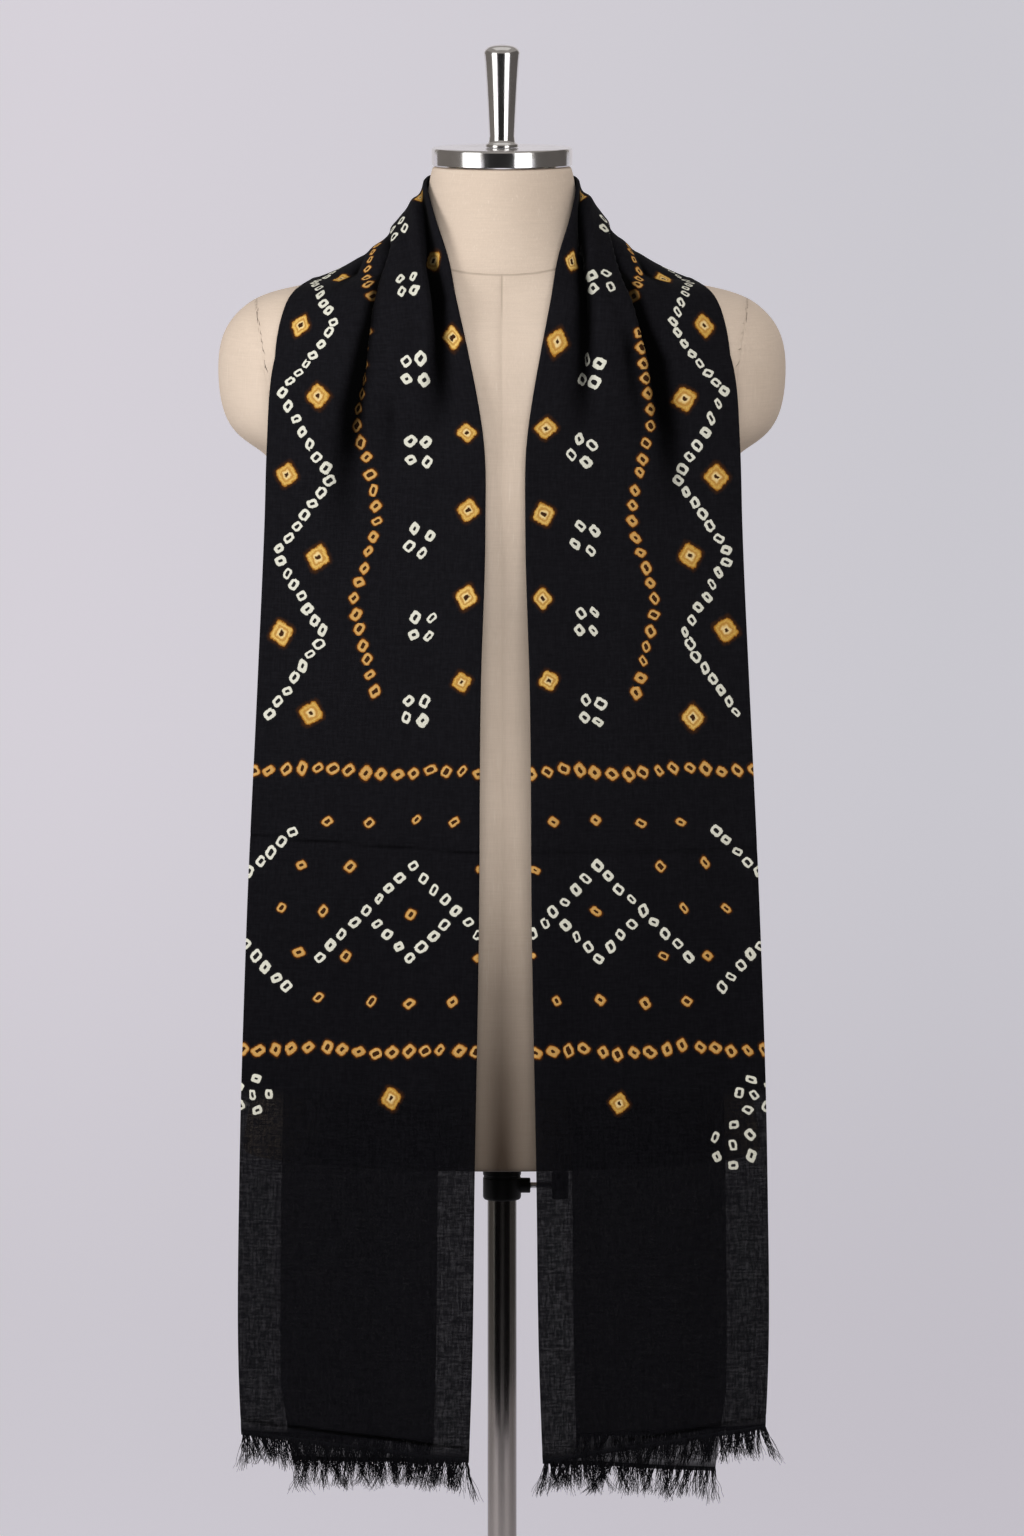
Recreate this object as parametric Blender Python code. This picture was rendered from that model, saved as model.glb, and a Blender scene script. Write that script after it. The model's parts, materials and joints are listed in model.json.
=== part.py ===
"""A stole folded in three along its length and hung round the neck of a limbless dress form.

Metres, +Z up. The origin is on the floor, on the axis of the stand's pole. -Y is the front,
and left and right are those of somebody who looks at the front. The folded band runs from the
left hem up over the left shoulder, round the back of the neck and down to the right hem.
"""

import math
import random
from collections import namedtuple

import bmesh
import bpy
import numpy as np
from mathutils import Vector
from mathutils.bvhtree import BVHTree

for old in list(bpy.data.objects):
    bpy.data.objects.remove(old, do_unlink=True)

MM = 0.001
GAP = 0.3 * MM  # between pieces that are sewn, seated or laid on each other

# The stand: a round base, a pole, and a collar with a thumbscrew that clamps the form's height.
BASE_RADIUS = 170 * MM
BASE_EDGE = 8 * MM
BASE_DOME = 15 * MM
BOSS_RADIUS = 23 * MM
BOSS_TOP = 34 * MM
POLE_RADIUS = 10.5 * MM
POLE_FOOT = 9 * MM
POLE_TOP = 1.075
BORE_RADIUS = 11.2 * MM
BORE_TOP = 1.076
COLLAR_RADIUS = 13.8 * MM
COLLAR_BOTTOM = 0.741
COLLAR_ROUNDING = 3 * MM
SCREW_HEIGHT = 0.752
SCREW_BOSS_RADIUS = 5.5 * MM
SCREW_BOSS_END = 20 * MM
SCREW_RADIUS = 2.2 * MM
SCREW_HOLE_RADIUS = 2.8 * MM
KNOB_RADIUS = 10 * MM
KNOB_START = 36 * MM
KNOB_LENGTH = 11 * MM
KNOB_LOBES = 6

# The form's top: a metal cap on the neck and a tapered finial on the cap.
NECK_TOP = 1.489
CAP_RADIUS = 50.4 * MM
CAP_HEIGHT = 13 * MM
CAP_BEVEL = 1.2 * MM
FINIAL_TOP = 1.576
FINIAL_FLANGE = 13 * MM
FINIAL_WAIST = 9.3 * MM
FINIAL_HEAD = 13 * MM

# The form's linen body: level sections, each half an ellipse in front and half behind.
Level = namedtuple("Level", "height half_width front back")
TORSO_LEVELS = [Level(*(size * MM for size in row)) for row in (
    # height, half width, front, back
    (776.0, 184.0, 104.0, 99.0),  # the cut lower edge, slightly rounded
    (782.0, 188.0, 108.0, 103.0),
    (842.0, 176.0, 110.0, 106.0),  # hips
    (954.0, 163.0, 106.0, 98.0),
    (1040.0, 154.0, 101.0, 90.0),
    (1124.0, 148.0, 99.0, 86.0),  # waist
    (1190.0, 154.0, 106.0, 88.0),
    (1238.0, 160.0, 112.0, 92.0),  # chest
    (1268.0, 163.0, 113.0, 95.0),
    (1286.0, 172.0, 112.0, 96.5),  # underside of the arm caps
    (1297.0, 190.0, 111.0, 97.0),
    (1308.0, 198.0, 110.0, 97.0),
    (1324.0, 202.5, 107.5, 97.0),
    (1346.0, 204.0, 104.0, 95.5),  # widest, across the arm caps
    (1362.0, 202.0, 101.0, 93.0),
    (1373.0, 197.5, 96.0, 90.0),
    (1381.0, 192.0, 92.0, 87.0),
    (1388.0, 185.0, 87.5, 83.0),
    (1394.5, 176.0, 83.0, 78.5),
    (1400.0, 161.0, 79.5, 75.5),  # shoulder line
    (1404.0, 140.0, 78.0, 74.0),
    (1408.5, 116.0, 77.0, 73.3),
    (1414.5, 93.0, 75.5, 72.5),
    (1423.0, 75.0, 72.5, 69.5),  # neck seam
    (1434.0, 63.5, 67.5, 64.5),
    (1447.0, 57.0, 62.0, 59.5),
    (1462.0, 54.0, 57.5, 56.0),
    (1477.0, 52.2, 53.0, 53.0),
    (1489.0, 50.0, 50.0, 50.0),  # under the cap
)]
TORSO_SIDES = 32

# The stole: a plain woven rectangle, both long edges folded in behind the width that shows.
FOLDED_WIDTH = 168 * MM
OUTER_FLAP = 143 * MM
INNER_FLAP = 138 * MM
WALL = 1.1 * MM
LAYER_PITCH = 2.4 * MM
STANDOFF = LAYER_PITCH + WALL / 2 + 2.1 * MM  # middle of the folded band from the form

# Courses are lines straight across the folded band, from its inner fold over a knee to its
# outer fold. These run from the left hem to the middle of the back; the right side mirrors them.
Course = namedtuple("Course", "inner knee outer hang")
COURSES = [Course(*(tuple(size * MM for size in point) for point in row[:3]), row[3]) for row in (
    # inner fold x y z, knee x y z, outer fold x y z, share of the right side's outset
    ((-25.5, -118, 555), (-106, -109, 555), (-184.5, -96, 555), 1.0),  # hem
    ((-22.5, -118, 640), (-105, -110, 640), (-188.0, -95, 640), 1.0),
    ((-20.5, -118, 776), (-104, -110, 776), (-187.0, -93, 776), 1.0),
    ((-17.3, -118, 954), (-100, -109, 954), (-181.5, -89, 954), 1.0),
    ((-15.9, -118, 1124), (-95, -107, 1124), (-173.5, -83, 1124), 1.0),  # waist
    ((-12.7, -118, 1240), (-91, -106, 1240), (-168.2, -78, 1240), 1.0),  # chest
    ((-13.4, -117, 1296), (-90, -105, 1296), (-166.5, -75, 1296), 1.0),
    ((-18.4, -112, 1331), (-91, -107, 1335), (-164.0, -70, 1338), 0.9),
    ((-26.9, -101, 1372), (-93, -101, 1368), (-159.0, -62, 1362), 0.7),
    ((-33.4, -88, 1400), (-93, -92, 1391), (-151.5, -47, 1382), 0.5),
    ((-39.2, -66, 1428), (-88, -56, 1406), (-143.5, -29, 1397), 0.35),
    ((-48.6, -43, 1455), (-83, -33, 1422), (-137.5, -10, 1406), 0.2),
    ((-54.5, -16, 1474), (-81, -4, 1428), (-134.0, 8, 1406), 0.0),  # shoulder ridge
    ((-54.0, 14, 1479), (-80, 22, 1426), (-122.0, 48, 1396), 0.0),
    ((-43.0, 40, 1481), (-66, 56, 1422), (-98.0, 80, 1374), 0.0),
    ((-23.0, 54, 1482), (-34, 74, 1415), (-54.0, 95, 1352), 0.0),
    ((0.0, 58, 1482), (0, 79, 1410), (0.0, 101, 1345), 0.0),  # middle of the back
)]
RIGHT_OUTSET = namedtuple("Outset", "inner knee outer")(5 * MM, 3.5 * MM, 2 * MM)

# Gathers that run down from the neck. Places are shares of the folded width from its inner fold.
# They start in the middle of the back and fade out at the given distance from the hem.
Gather = namedtuple("Gather", "side at_neck at_chest half_width depth fade_from fade_to")
GATHERS = [
    # side, share at neck, share at chest, half width in shares, depth, distances from the hem
    Gather(-1, 0.16, 0.24, 0.055, -6.5 * MM, 0.900, 0.740),
    Gather(-1, 0.50, 0.63, 0.060, -7.0 * MM, 0.880, 0.700),
    Gather(-1, 0.33, 0.42, 0.080, 3.5 * MM, 0.900, 0.720),
    Gather(1, 0.20, 0.28, 0.055, -6.5 * MM, 0.900, 0.760),
    Gather(1, 0.52, 0.62, 0.060, -7.0 * MM, 0.880, 0.720),
    Gather(1, 0.38, 0.46, 0.070, 3.5 * MM, 0.900, 0.700),
]
CHEST_DISTANCE = 0.742  # from the hem to the chest, where the gathers have spread
HEM_WAVES = 1.8 * MM
HEM_WAVE_FADE = 0.5
NORMAL_STEP = 4 * MM

# How far each layer's cut end lies above the lowest course, at the two ends of the layer.
HemRise = namedtuple("HemRise", "outer_flap_edge outer_fold inner_fold inner_flap_edge")
LEFT_HEM = HemRise(28 * MM, 31 * MM, 14 * MM, 13 * MM)
RIGHT_HEM = HemRise(32 * MM, 35 * MM, 14 * MM, 5 * MM)
HEM_SETTLES = 0.16  # distance from the hem over which the unequal ends even out
FLAP_NARROWING = 0.10  # share of the width by which the inner flap draws in at the hem
FLAP_NARROWING_HEIGHT = 0.06

FRINGE_GAP = 0.6 * MM  # from the cut end, whose corners lie further apart than the strip's
FRINGE_STRIP = 1.5 * MM
FRINGE_LENGTH = 15 * MM
FRINGE_STEP = 4.4 * MM
FRINGE_TIP = 0.35
FRINGE_LEAN = 2.2 * MM
FRINGE_SEED = 11

FRONT_STEPS = 18
FLAP_STEPS = 5
FOLD_STEPS = 4
NECK_ROWS = 20
HANGING_ROWS = (0.0, 0.03, 0.10, 0.22, 0.36, 0.50, 0.62, 0.70, 0.75)
SHOULDER_START = 0.79
SHOULDER_ROWS = 14


def material(name, colour, roughness, metallic=0.0):
    made = bpy.data.materials.new(name)
    made.use_nodes = True
    shader = made.node_tree.nodes["Principled BSDF"]
    shader.inputs["Base Color"].default_value = (*colour, 1.0)
    shader.inputs["Roughness"].default_value = roughness
    shader.inputs["Metallic"].default_value = metallic
    return made


BLACK_CLOTH = ((0.012, 0.012, 0.016), 0.85)
LINEN = ((0.72, 0.62, 0.52), 0.8)
CHROME = ((0.62, 0.62, 0.64), 0.14, 1.0)
BLACK_PLASTIC = ((0.02, 0.02, 0.022), 0.45)


def add_object(name, mesh, finish):
    mesh.materials.append(material(name + "_finish", *finish))
    made = bpy.data.objects.new(name, mesh)
    bpy.context.scene.collection.objects.link(made)
    return made


def mesh_from(form, name):
    bmesh.ops.recalc_face_normals(form, faces=form.faces)
    mesh = bpy.data.meshes.new(name)
    form.to_mesh(mesh)
    form.free()
    return mesh


def turned(name, profile, finish, steps=32):
    """A solid turned about Z from a profile of (radius, height), which starts and ends on it or closes."""
    form = bmesh.new()
    points = [form.verts.new((radius, 0.0, height)) for radius, height in profile]
    closed = min(radius for radius, _ in profile) > 0
    pairs = zip(points, points[1:] + (points[:1] if closed else []))
    edges = [form.edges.new(pair) for pair in pairs]
    bmesh.ops.spin(form, geom=points + edges, axis=(0, 0, 1), angle=math.tau, steps=steps)
    bmesh.ops.remove_doubles(form, verts=form.verts, dist=1e-6)
    mesh = mesh_from(form, name)
    mesh.shade_smooth()
    mesh.set_sharp_from_angle(angle=math.radians(35))
    return add_object(name, mesh, finish)


def arc(centre, radius, start, end, steps):
    """Points (radius, height) on an arc, with angles in degrees from the level outward direction."""
    angles = [math.radians(start + (end - start) * step / steps) for step in range(steps + 1)]
    return [(centre[0] + radius * math.cos(a), centre[1] + radius * math.sin(a)) for a in angles]


def through(knots, values, at):
    """A smooth curve through the rows of values, which lie at the knots, read at each distance."""
    slopes = np.gradient(values, knots, axis=0)
    low = np.clip(np.searchsorted(knots, at, side="right") - 1, 0, len(knots) - 2)
    span = (knots[low + 1] - knots[low])[:, None]
    part = (at - knots[low])[:, None] / span
    rising = part * part * (3 - 2 * part)
    leaving = part * (1 - part) ** 2 * span
    arriving = part * part * (part - 1) * span
    start, end = values[low], values[low + 1]
    return start + (end - start) * rising + slopes[low] * leaving + slopes[low + 1] * arriving


def torso_rings(heights, sides):
    """Rings of points round the form, one for each height."""
    table = np.array(TORSO_LEVELS)
    sizes = through(table[:, 0], table[:, 1:], np.asarray(heights))
    turns = np.arange(sides) * math.tau / sides
    rings = np.empty((len(heights), sides, 3))
    for ring, (width, front, back) in enumerate(sizes):
        depth = np.where(np.sin(turns) < 0, front, back)
        rings[ring, :, 0] = width * np.cos(turns)
        rings[ring, :, 1] = depth * np.sin(turns)
        rings[ring, :, 2] = heights[ring]
    return rings


def skin(form, rings, closed_round=True):
    """Quads between neighbouring rings of points, and the rings' vertices."""
    loops = [[form.verts.new(point) for point in ring] for ring in rings]
    for lower, upper in zip(loops, loops[1:]):
        count = len(lower)
        for index in range(count if closed_round else count - 1):
            after = (index + 1) % count
            form.faces.new((lower[index], lower[after], upper[after], upper[index]))
    return loops


def build_torso():
    """The padded linen body with its arm caps and neck, and a blind bore for the pole."""
    form = bmesh.new()
    heights = [level.height for level in TORSO_LEVELS]
    outside = torso_rings(heights, TORSO_SIDES)
    turns = np.arange(TORSO_SIDES) * math.tau / TORSO_SIDES
    circle = np.stack([BORE_RADIUS * np.cos(turns), BORE_RADIUS * np.sin(turns)], axis=1)
    bore = [np.column_stack([circle, np.full(TORSO_SIDES, height)])
            for height in (BORE_TOP, heights[0])]
    loops = skin(form, [*bore, *outside])
    form.faces.new(loops[0])
    form.faces.new(loops[-1])
    mesh = mesh_from(form, "form_torso")
    mesh.shade_smooth()
    mesh.set_sharp_from_angle(angle=math.radians(50))
    return add_object("form_torso", mesh, LINEN)


def form_surface():
    """A fine copy of the form's outer surface, from which the cloth keeps its distance."""
    heights = np.linspace(TORSO_LEVELS[0].height, TORSO_LEVELS[-1].height, 240)
    rings = torso_rings(heights, 120)
    count = rings.shape[1]
    faces = [(row * count + side, row * count + (side + 1) % count,
              (row + 1) * count + (side + 1) % count, (row + 1) * count + side)
             for row in range(len(heights) - 1) for side in range(count)]
    return BVHTree.FromPolygons(rings.reshape(-1, 3).tolist(), faces)


def course_lines():
    """All courses from hem to hem: distances along the band, and the inner, knee and outer points."""
    left = np.array([course[:3] for course in COURSES])
    right = left[-2::-1] * (-1, 1, 1)
    share = np.array([course.hang for course in COURSES])[-2::-1]
    right[:, :, 0] += share[:, None] * np.array(RIGHT_OUTSET)
    lines = np.concatenate([left, right])
    middle = lines.mean(axis=1)
    steps = np.linalg.norm(np.diff(middle, axis=0), axis=1)
    return np.concatenate([[0.0], np.cumsum(steps)]), lines


ALONG, LINES = course_lines()
BAND_LENGTH = ALONG[-1]
RIDGE = ALONG[12]  # the shoulder ridge, where the neck stretch meets a fall


def fade(value, start, end):
    """0 before start, 1 after end and a smooth rise between, whichever of the two is larger."""
    part = np.clip((value - start) / (end - start), 0.0, 1.0)
    return part * part * (3 - 2 * part)


def relief(along, across):
    """How far the gathers and the hem's slow waves lift the band off its plain form."""
    side = np.where(along < BAND_LENGTH / 2, -1, 1)
    from_hem = np.minimum(along, BAND_LENGTH - along)
    lift = np.zeros(np.broadcast(along, across).shape)
    for gather in GATHERS:
        spread = fade(from_hem, RIDGE, CHEST_DISTANCE)
        place = gather.at_neck + (gather.at_chest - gather.at_neck) * spread
        shape = np.exp(-(((across - place) / gather.half_width) ** 2))
        strength = fade(from_hem, gather.fade_to, gather.fade_from) * (side == gather.side)
        behind = fade(from_hem, BAND_LENGTH / 2, RIDGE)
        lift += gather.depth * shape * strength * (0.25 + 0.75 * behind)
    waves = np.cos(across * math.tau * 1.5 + side) * fade(from_hem, HEM_WAVE_FADE, 0.0)
    return lift + HEM_WAVES * waves


def plain_band(along, across):
    """Points of the folded band before its gathers, a grid of along by across."""
    lines = through(ALONG, LINES.reshape(len(LINES), -1), along).reshape(-1, 1, 3, 3)
    share = across[None, :, None]
    return ((1 - share) ** 2 * lines[:, :, 0] + 2 * share * (1 - share) * lines[:, :, 1]
            + share ** 2 * lines[:, :, 2])


def outward(shape, along, across):
    """Unit normals, away from the form, of the grid of points that shape gives."""
    run = shape(along + NORMAL_STEP, across) - shape(along - NORMAL_STEP, across)
    normals = np.cross(run, np.gradient(shape(along, across), axis=1))
    return normals / np.linalg.norm(normals, axis=2, keepdims=True)


def band_middle(along, across, surface):
    """Points of the folded band's middle with its gathers, kept clear of the form's surface."""
    lift = relief(along[:, None], across[None, :])[..., None]
    points = plain_band(along, across) + outward(plain_band, along, across) * lift
    for point in points.reshape(-1, 3):
        near, facing, _, _ = surface.find_nearest(Vector(point))
        away = Vector(point) - near
        distance = math.copysign(away.length, away.dot(facing))
        if abs(away.z) < away.length * 0.999 and distance < STANDOFF:
            point[:] = near + away * (STANDOFF / distance)
    return points


def folded_path(front_steps, flap_steps, fold_steps):
    """The section of the folded cloth from one long edge to the other.

    Rows of: share across the folded width, height off its middle, reach past the fold, layer.
    Layers count from 0 at the outer flap's edge to 1 at the outer fold, 2 at the inner fold
    and 3 at the inner flap's edge.
    """
    outer_start = 1 - OUTER_FLAP / FOLDED_WIDTH
    inner_end = INNER_FLAP / FOLDED_WIDTH
    rows = [(outer_start + (1 - outer_start) * k / flap_steps, 0.0, 0.0, k / flap_steps)
            for k in range(flap_steps)]
    for k in range(fold_steps + 1):
        turn = math.pi * k / fold_steps
        radius = LAYER_PITCH / 2
        rows.append((1.0, radius * (1 - math.cos(turn)), radius * math.sin(turn), 1.0))
    rows += [(1 - k / front_steps, LAYER_PITCH, 0.0, 1 + k / front_steps)
             for k in range(1, front_steps)]
    for k in range(fold_steps + 1):
        turn = math.pi * k / fold_steps
        rows.append((0.0, LAYER_PITCH * math.cos(turn), -LAYER_PITCH * math.sin(turn), 2.0))
    rows += [(inner_end * k / flap_steps, -LAYER_PITCH, 0.0, 2 + k / flap_steps)
             for k in range(1, flap_steps + 1)]
    return np.array(rows)


def folded_points(along, path, surface):
    """A grid of points on the folded cloth, one row for each distance along the band."""
    across = np.linspace(0.0, 1.0, 41)
    left_end = along.min() < BAND_LENGTH / 2
    rises = LEFT_HEM if left_end else RIGHT_HEM
    rise = np.interp(path[:, 3], (0, 1, 2, 3), rises)
    rows = []
    for distance in along:
        from_hem = min(distance, BAND_LENGTH - distance)
        share = path[:, 0].copy()
        drawn_in = FLAP_NARROWING * (1 - float(fade(from_hem, 0.01, FLAP_NARROWING_HEIGHT)))
        inner_flap = path[:, 3] > 2
        share[inner_flap] *= 1 - drawn_in
        shift = rise * max(0.0, 1 - from_hem / HEM_SETTLES)
        rows.append((share, shift if left_end else -shift))
    shifts = np.array([shift for _, shift in rows])
    low, high = 0.0, shifts.max() if left_end else shifts.min()
    spread = (low, high) if abs(high) > 0 else (0.0,)
    grids = [band_middle(along + offset, across, surface) for offset in spread]
    normals = outward(lambda at, over: band_middle(at, over, surface), along, across)
    found = np.empty((len(along), len(path), 3))
    for row, (share, shift) in enumerate(rows):
        for column in range(len(path)):
            mix = shift[column] / high if abs(high) > 0 else 0.0
            place = sum(weight * interpolated(grid[row], share[column])
                        for weight, grid in zip((1 - mix, mix), grids))
            normal = interpolated(normals[row], share[column])
            line = grids[0][row]
            edge = line[-1] - line[-2] if share[column] > 0.5 else line[1] - line[0]
            edge = edge / np.linalg.norm(edge)
            found[row, column] = place + normal * path[column, 1] + edge * path[column, 2]
    return found


def interpolated(row, share):
    place = share * (len(row) - 1)
    low = min(int(place), len(row) - 2)
    return row[low] + (row[low + 1] - row[low]) * (place - low)


def build_stretch(name, along, surface):
    """One stretch of the folded cloth: a sheet through its rows, thickened into a wall."""
    path = folded_path(FRONT_STEPS, FLAP_STEPS, FOLD_STEPS)
    form = bmesh.new()
    skin(form, folded_points(np.asarray(along), path, surface), closed_round=False)
    mesh = bpy.data.meshes.new(name)
    form.to_mesh(mesh)
    form.free()
    mesh.shade_smooth()
    made = add_object(name, mesh, BLACK_CLOTH)
    wall = made.modifiers.new("wall", "SOLIDIFY")
    wall.thickness = WALL
    wall.offset = 0.0
    wall.use_even_offset = True
    return made


def build_fringe(name, hem, surface):
    """A narrow strip along the folded hem, with a lock hanging from every other piece of it."""
    flat = round(FOLDED_WIDTH / FRINGE_STEP)
    path = folded_path(flat, round(OUTER_FLAP / FRINGE_STEP), FOLD_STEPS)
    rows = np.array([0.0, 5 * MM]) if hem == 0.0 else np.array([hem - 5 * MM, hem])
    ends = folded_points(rows, path, surface)
    if hem > 0.0:
        ends = ends[::-1]
    down = ends[0] - ends[1]
    down /= np.linalg.norm(down, axis=1, keepdims=True)
    run = np.gradient(ends[0], axis=0)
    sideways = np.cross(run, down)
    sideways *= WALL / 2 / np.linalg.norm(sideways, axis=1, keepdims=True)
    top = ends[0] + down * FRINGE_GAP
    bottom = top + down * FRINGE_STRIP
    form = bmesh.new()
    loops = skin(form, [top - sideways, bottom - sideways, bottom + sideways, top + sideways],
                 closed_round=False)
    for index in range(len(path) - 1):
        form.faces.new((loops[3][index], loops[3][index + 1], loops[0][index + 1], loops[0][index]))
    for index in (0, -1):
        form.faces.new([loop[index] for loop in loops])
    form.faces.ensure_lookup_table()
    dice = random.Random(FRINGE_SEED)
    under = [face for face in form.faces if set(face.verts) <= set(loops[1] + loops[2])]
    under.sort(key=lambda face: min(loops[1].index(v) for v in face.verts if v in loops[1]))
    for face in under[::2]:
        centre = np.array(face.calc_center_median())
        index = int(np.argmin(np.linalg.norm(bottom - centre, axis=1)))
        grown = bmesh.ops.extrude_discrete_faces(form, faces=[face])["faces"][0]
        lean = Vector(run[index]).normalized() * dice.uniform(-FRINGE_LEAN, FRINGE_LEAN)
        fall = Vector(down[index]) * (FRINGE_LENGTH * dice.uniform(0.85, 1.15)) + lean
        middle = grown.calc_center_median()
        for corner in grown.verts:
            corner.co = middle + (corner.co - middle) * FRINGE_TIP + fall
    return add_object(name, mesh_from(form, name), BLACK_CLOTH)


def build_stole():
    surface = form_surface()
    top = RIDGE - GAP / 2
    shoulder = np.linspace(SHOULDER_START, top, SHOULDER_ROWS)
    left = np.concatenate([HANGING_ROWS, shoulder])
    build_stretch("stole_left_fall", left, surface)
    build_stretch("stole_right_fall", BAND_LENGTH - left[::-1], surface)
    neck = np.linspace(RIDGE + GAP / 2, BAND_LENGTH - RIDGE - GAP / 2, NECK_ROWS)
    build_stretch("stole_neck", neck, surface)
    build_fringe("fringe_left", 0.0, surface)
    build_fringe("fringe_right", BAND_LENGTH, surface)


def build_top():
    """The metal cap on the neck and the finial that stands on it."""
    low, high = NECK_TOP + GAP, NECK_TOP + GAP + CAP_HEIGHT
    turned("neck_cap", [
        (0.0, low),
        (CAP_RADIUS - CAP_BEVEL, low),
        (CAP_RADIUS, low + CAP_BEVEL),
        (CAP_RADIUS, high - CAP_BEVEL),
        (CAP_RADIUS - CAP_BEVEL, high),
        (0.0, high),
    ], CHROME, steps=40)
    foot = high + GAP
    dome_centre = (FINIAL_HEAD - 3 * MM, FINIAL_TOP - 5 * MM)
    turned("finial", [
        (0.0, foot),
        (FINIAL_FLANGE, foot),
        (FINIAL_FLANGE, foot + 2.5 * MM),
        (FINIAL_WAIST + 0.6 * MM, foot + 4 * MM),
        (FINIAL_WAIST, foot + 8 * MM),
        *arc(dome_centre, 3 * MM, 0, 65, 3),
        (FINIAL_HEAD * 0.5, FINIAL_TOP - 0.8 * MM),
        (0.0, FINIAL_TOP),
    ], CHROME, steps=24)


def build_stand():
    """The base with its socket, the pole, and the collar and thumbscrew under the form."""
    turned("base", [
        (0.0, 0.0),
        (BASE_RADIUS - 2 * MM, 0.0),
        (BASE_RADIUS, 2 * MM),
        (BASE_RADIUS, BASE_EDGE - 2 * MM),
        (BASE_RADIUS - 3 * MM, BASE_EDGE),
        (BASE_RADIUS * 0.5, BASE_DOME - 3 * MM),
        (BOSS_RADIUS + 5 * MM, BASE_DOME),
        (BOSS_RADIUS, BASE_DOME + 4 * MM),
        (BOSS_RADIUS, BOSS_TOP - 2 * MM),
        (BOSS_RADIUS - 2 * MM, BOSS_TOP),
        (BORE_RADIUS, BOSS_TOP),
        (BORE_RADIUS, POLE_FOOT - GAP),
        (0.0, POLE_FOOT - GAP),
    ], CHROME, steps=32)
    turned("pole", [
        (0.0, POLE_FOOT),
        (POLE_RADIUS, POLE_FOOT),
        (POLE_RADIUS, POLE_TOP),
        (0.0, POLE_TOP),
    ], CHROME, steps=TORSO_SIDES)
    top = TORSO_LEVELS[0].height - GAP
    collar = turned("clamp_collar", [
        (BORE_RADIUS, top),
        (COLLAR_RADIUS, top),
        *arc((COLLAR_RADIUS - COLLAR_ROUNDING + 1 * MM, COLLAR_BOTTOM + COLLAR_ROUNDING),
             COLLAR_ROUNDING - 1 * MM, 0, -90, 3),
        (BORE_RADIUS, COLLAR_BOTTOM + 1 * MM),
    ], BLACK_PLASTIC, steps=TORSO_SIDES)
    reach = SCREW_BOSS_END - COLLAR_RADIUS
    boss = sideways_round("screw_boss", SCREW_BOSS_RADIUS, COLLAR_RADIUS - 1 * MM, reach + 1 * MM)
    hole = sideways_round("screw_hole", SCREW_HOLE_RADIUS, POLE_RADIUS - 2 * MM, 2 * reach + 8 * MM)
    for helper, operation in ((boss, "UNION"), (hole, "DIFFERENCE")):
        helper.hide_render = True
        helper.display_type = "WIRE"
        joining = collar.modifiers.new(helper.name, "BOOLEAN")
        joining.operation = operation
        joining.object = helper
    build_screw()


def sideways_round(name, radius, start, length, steps=20):
    """A cylinder along X at the height of the thumbscrew."""
    form = bmesh.new()
    bmesh.ops.create_cone(form, cap_ends=True, segments=steps, radius1=radius, radius2=radius,
                          depth=length)
    for point in form.verts:
        x, y, z = point.co
        point.co = (z + start + length / 2, y, -x + SCREW_HEIGHT)
    return add_object(name, mesh_from(form, name), BLACK_PLASTIC)


def build_screw():
    """The thumbscrew: a plain stem and a lobed knob, modelled about its own axis along X."""
    centre = Vector((0.0, 0.0, SCREW_HEIGHT))
    sides = KNOB_LOBES * 4
    rings = []
    tip = POLE_RADIUS + GAP
    for x, radius, lobe in (
        (tip, SCREW_RADIUS, 0.0),
        (KNOB_START, SCREW_RADIUS, 0.0),
        (KNOB_START, KNOB_RADIUS * 0.8, 0.04),
        (KNOB_START + 2 * MM, KNOB_RADIUS, 0.09),
        (KNOB_START + KNOB_LENGTH - 2 * MM, KNOB_RADIUS, 0.09),
        (KNOB_START + KNOB_LENGTH, KNOB_RADIUS * 0.8, 0.04),
    ):
        turns = [math.tau * side / sides for side in range(sides)]
        rings.append([(x, radius * (1 + lobe * math.cos(KNOB_LOBES * a)) * math.cos(a),
                       radius * (1 + lobe * math.cos(KNOB_LOBES * a)) * math.sin(a))
                      for a in turns])
    form = bmesh.new()
    loops = skin(form, rings)
    form.faces.new(loops[0])
    form.faces.new(loops[-1])
    mesh = mesh_from(form, "clamp_knob")
    mesh.shade_smooth()
    mesh.set_sharp_from_angle(angle=math.radians(40))
    knob = add_object("clamp_knob", mesh, BLACK_PLASTIC)
    knob.location = centre


build_torso()
build_top()
build_stand()
build_stole()
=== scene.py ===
"""Finish, cloth, fringe and light for a tie-dyed cotton stole on a limbless dress form.

Metres, +Z up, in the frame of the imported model: the origin is on the floor under the pole and
-Y is the front. Left and right are those of somebody who looks at the front.
"""

import json
import math
import random
from collections import namedtuple

import bmesh
import bpy
import numpy as np
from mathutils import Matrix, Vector
from mathutils.bvhtree import BVHTree

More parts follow.
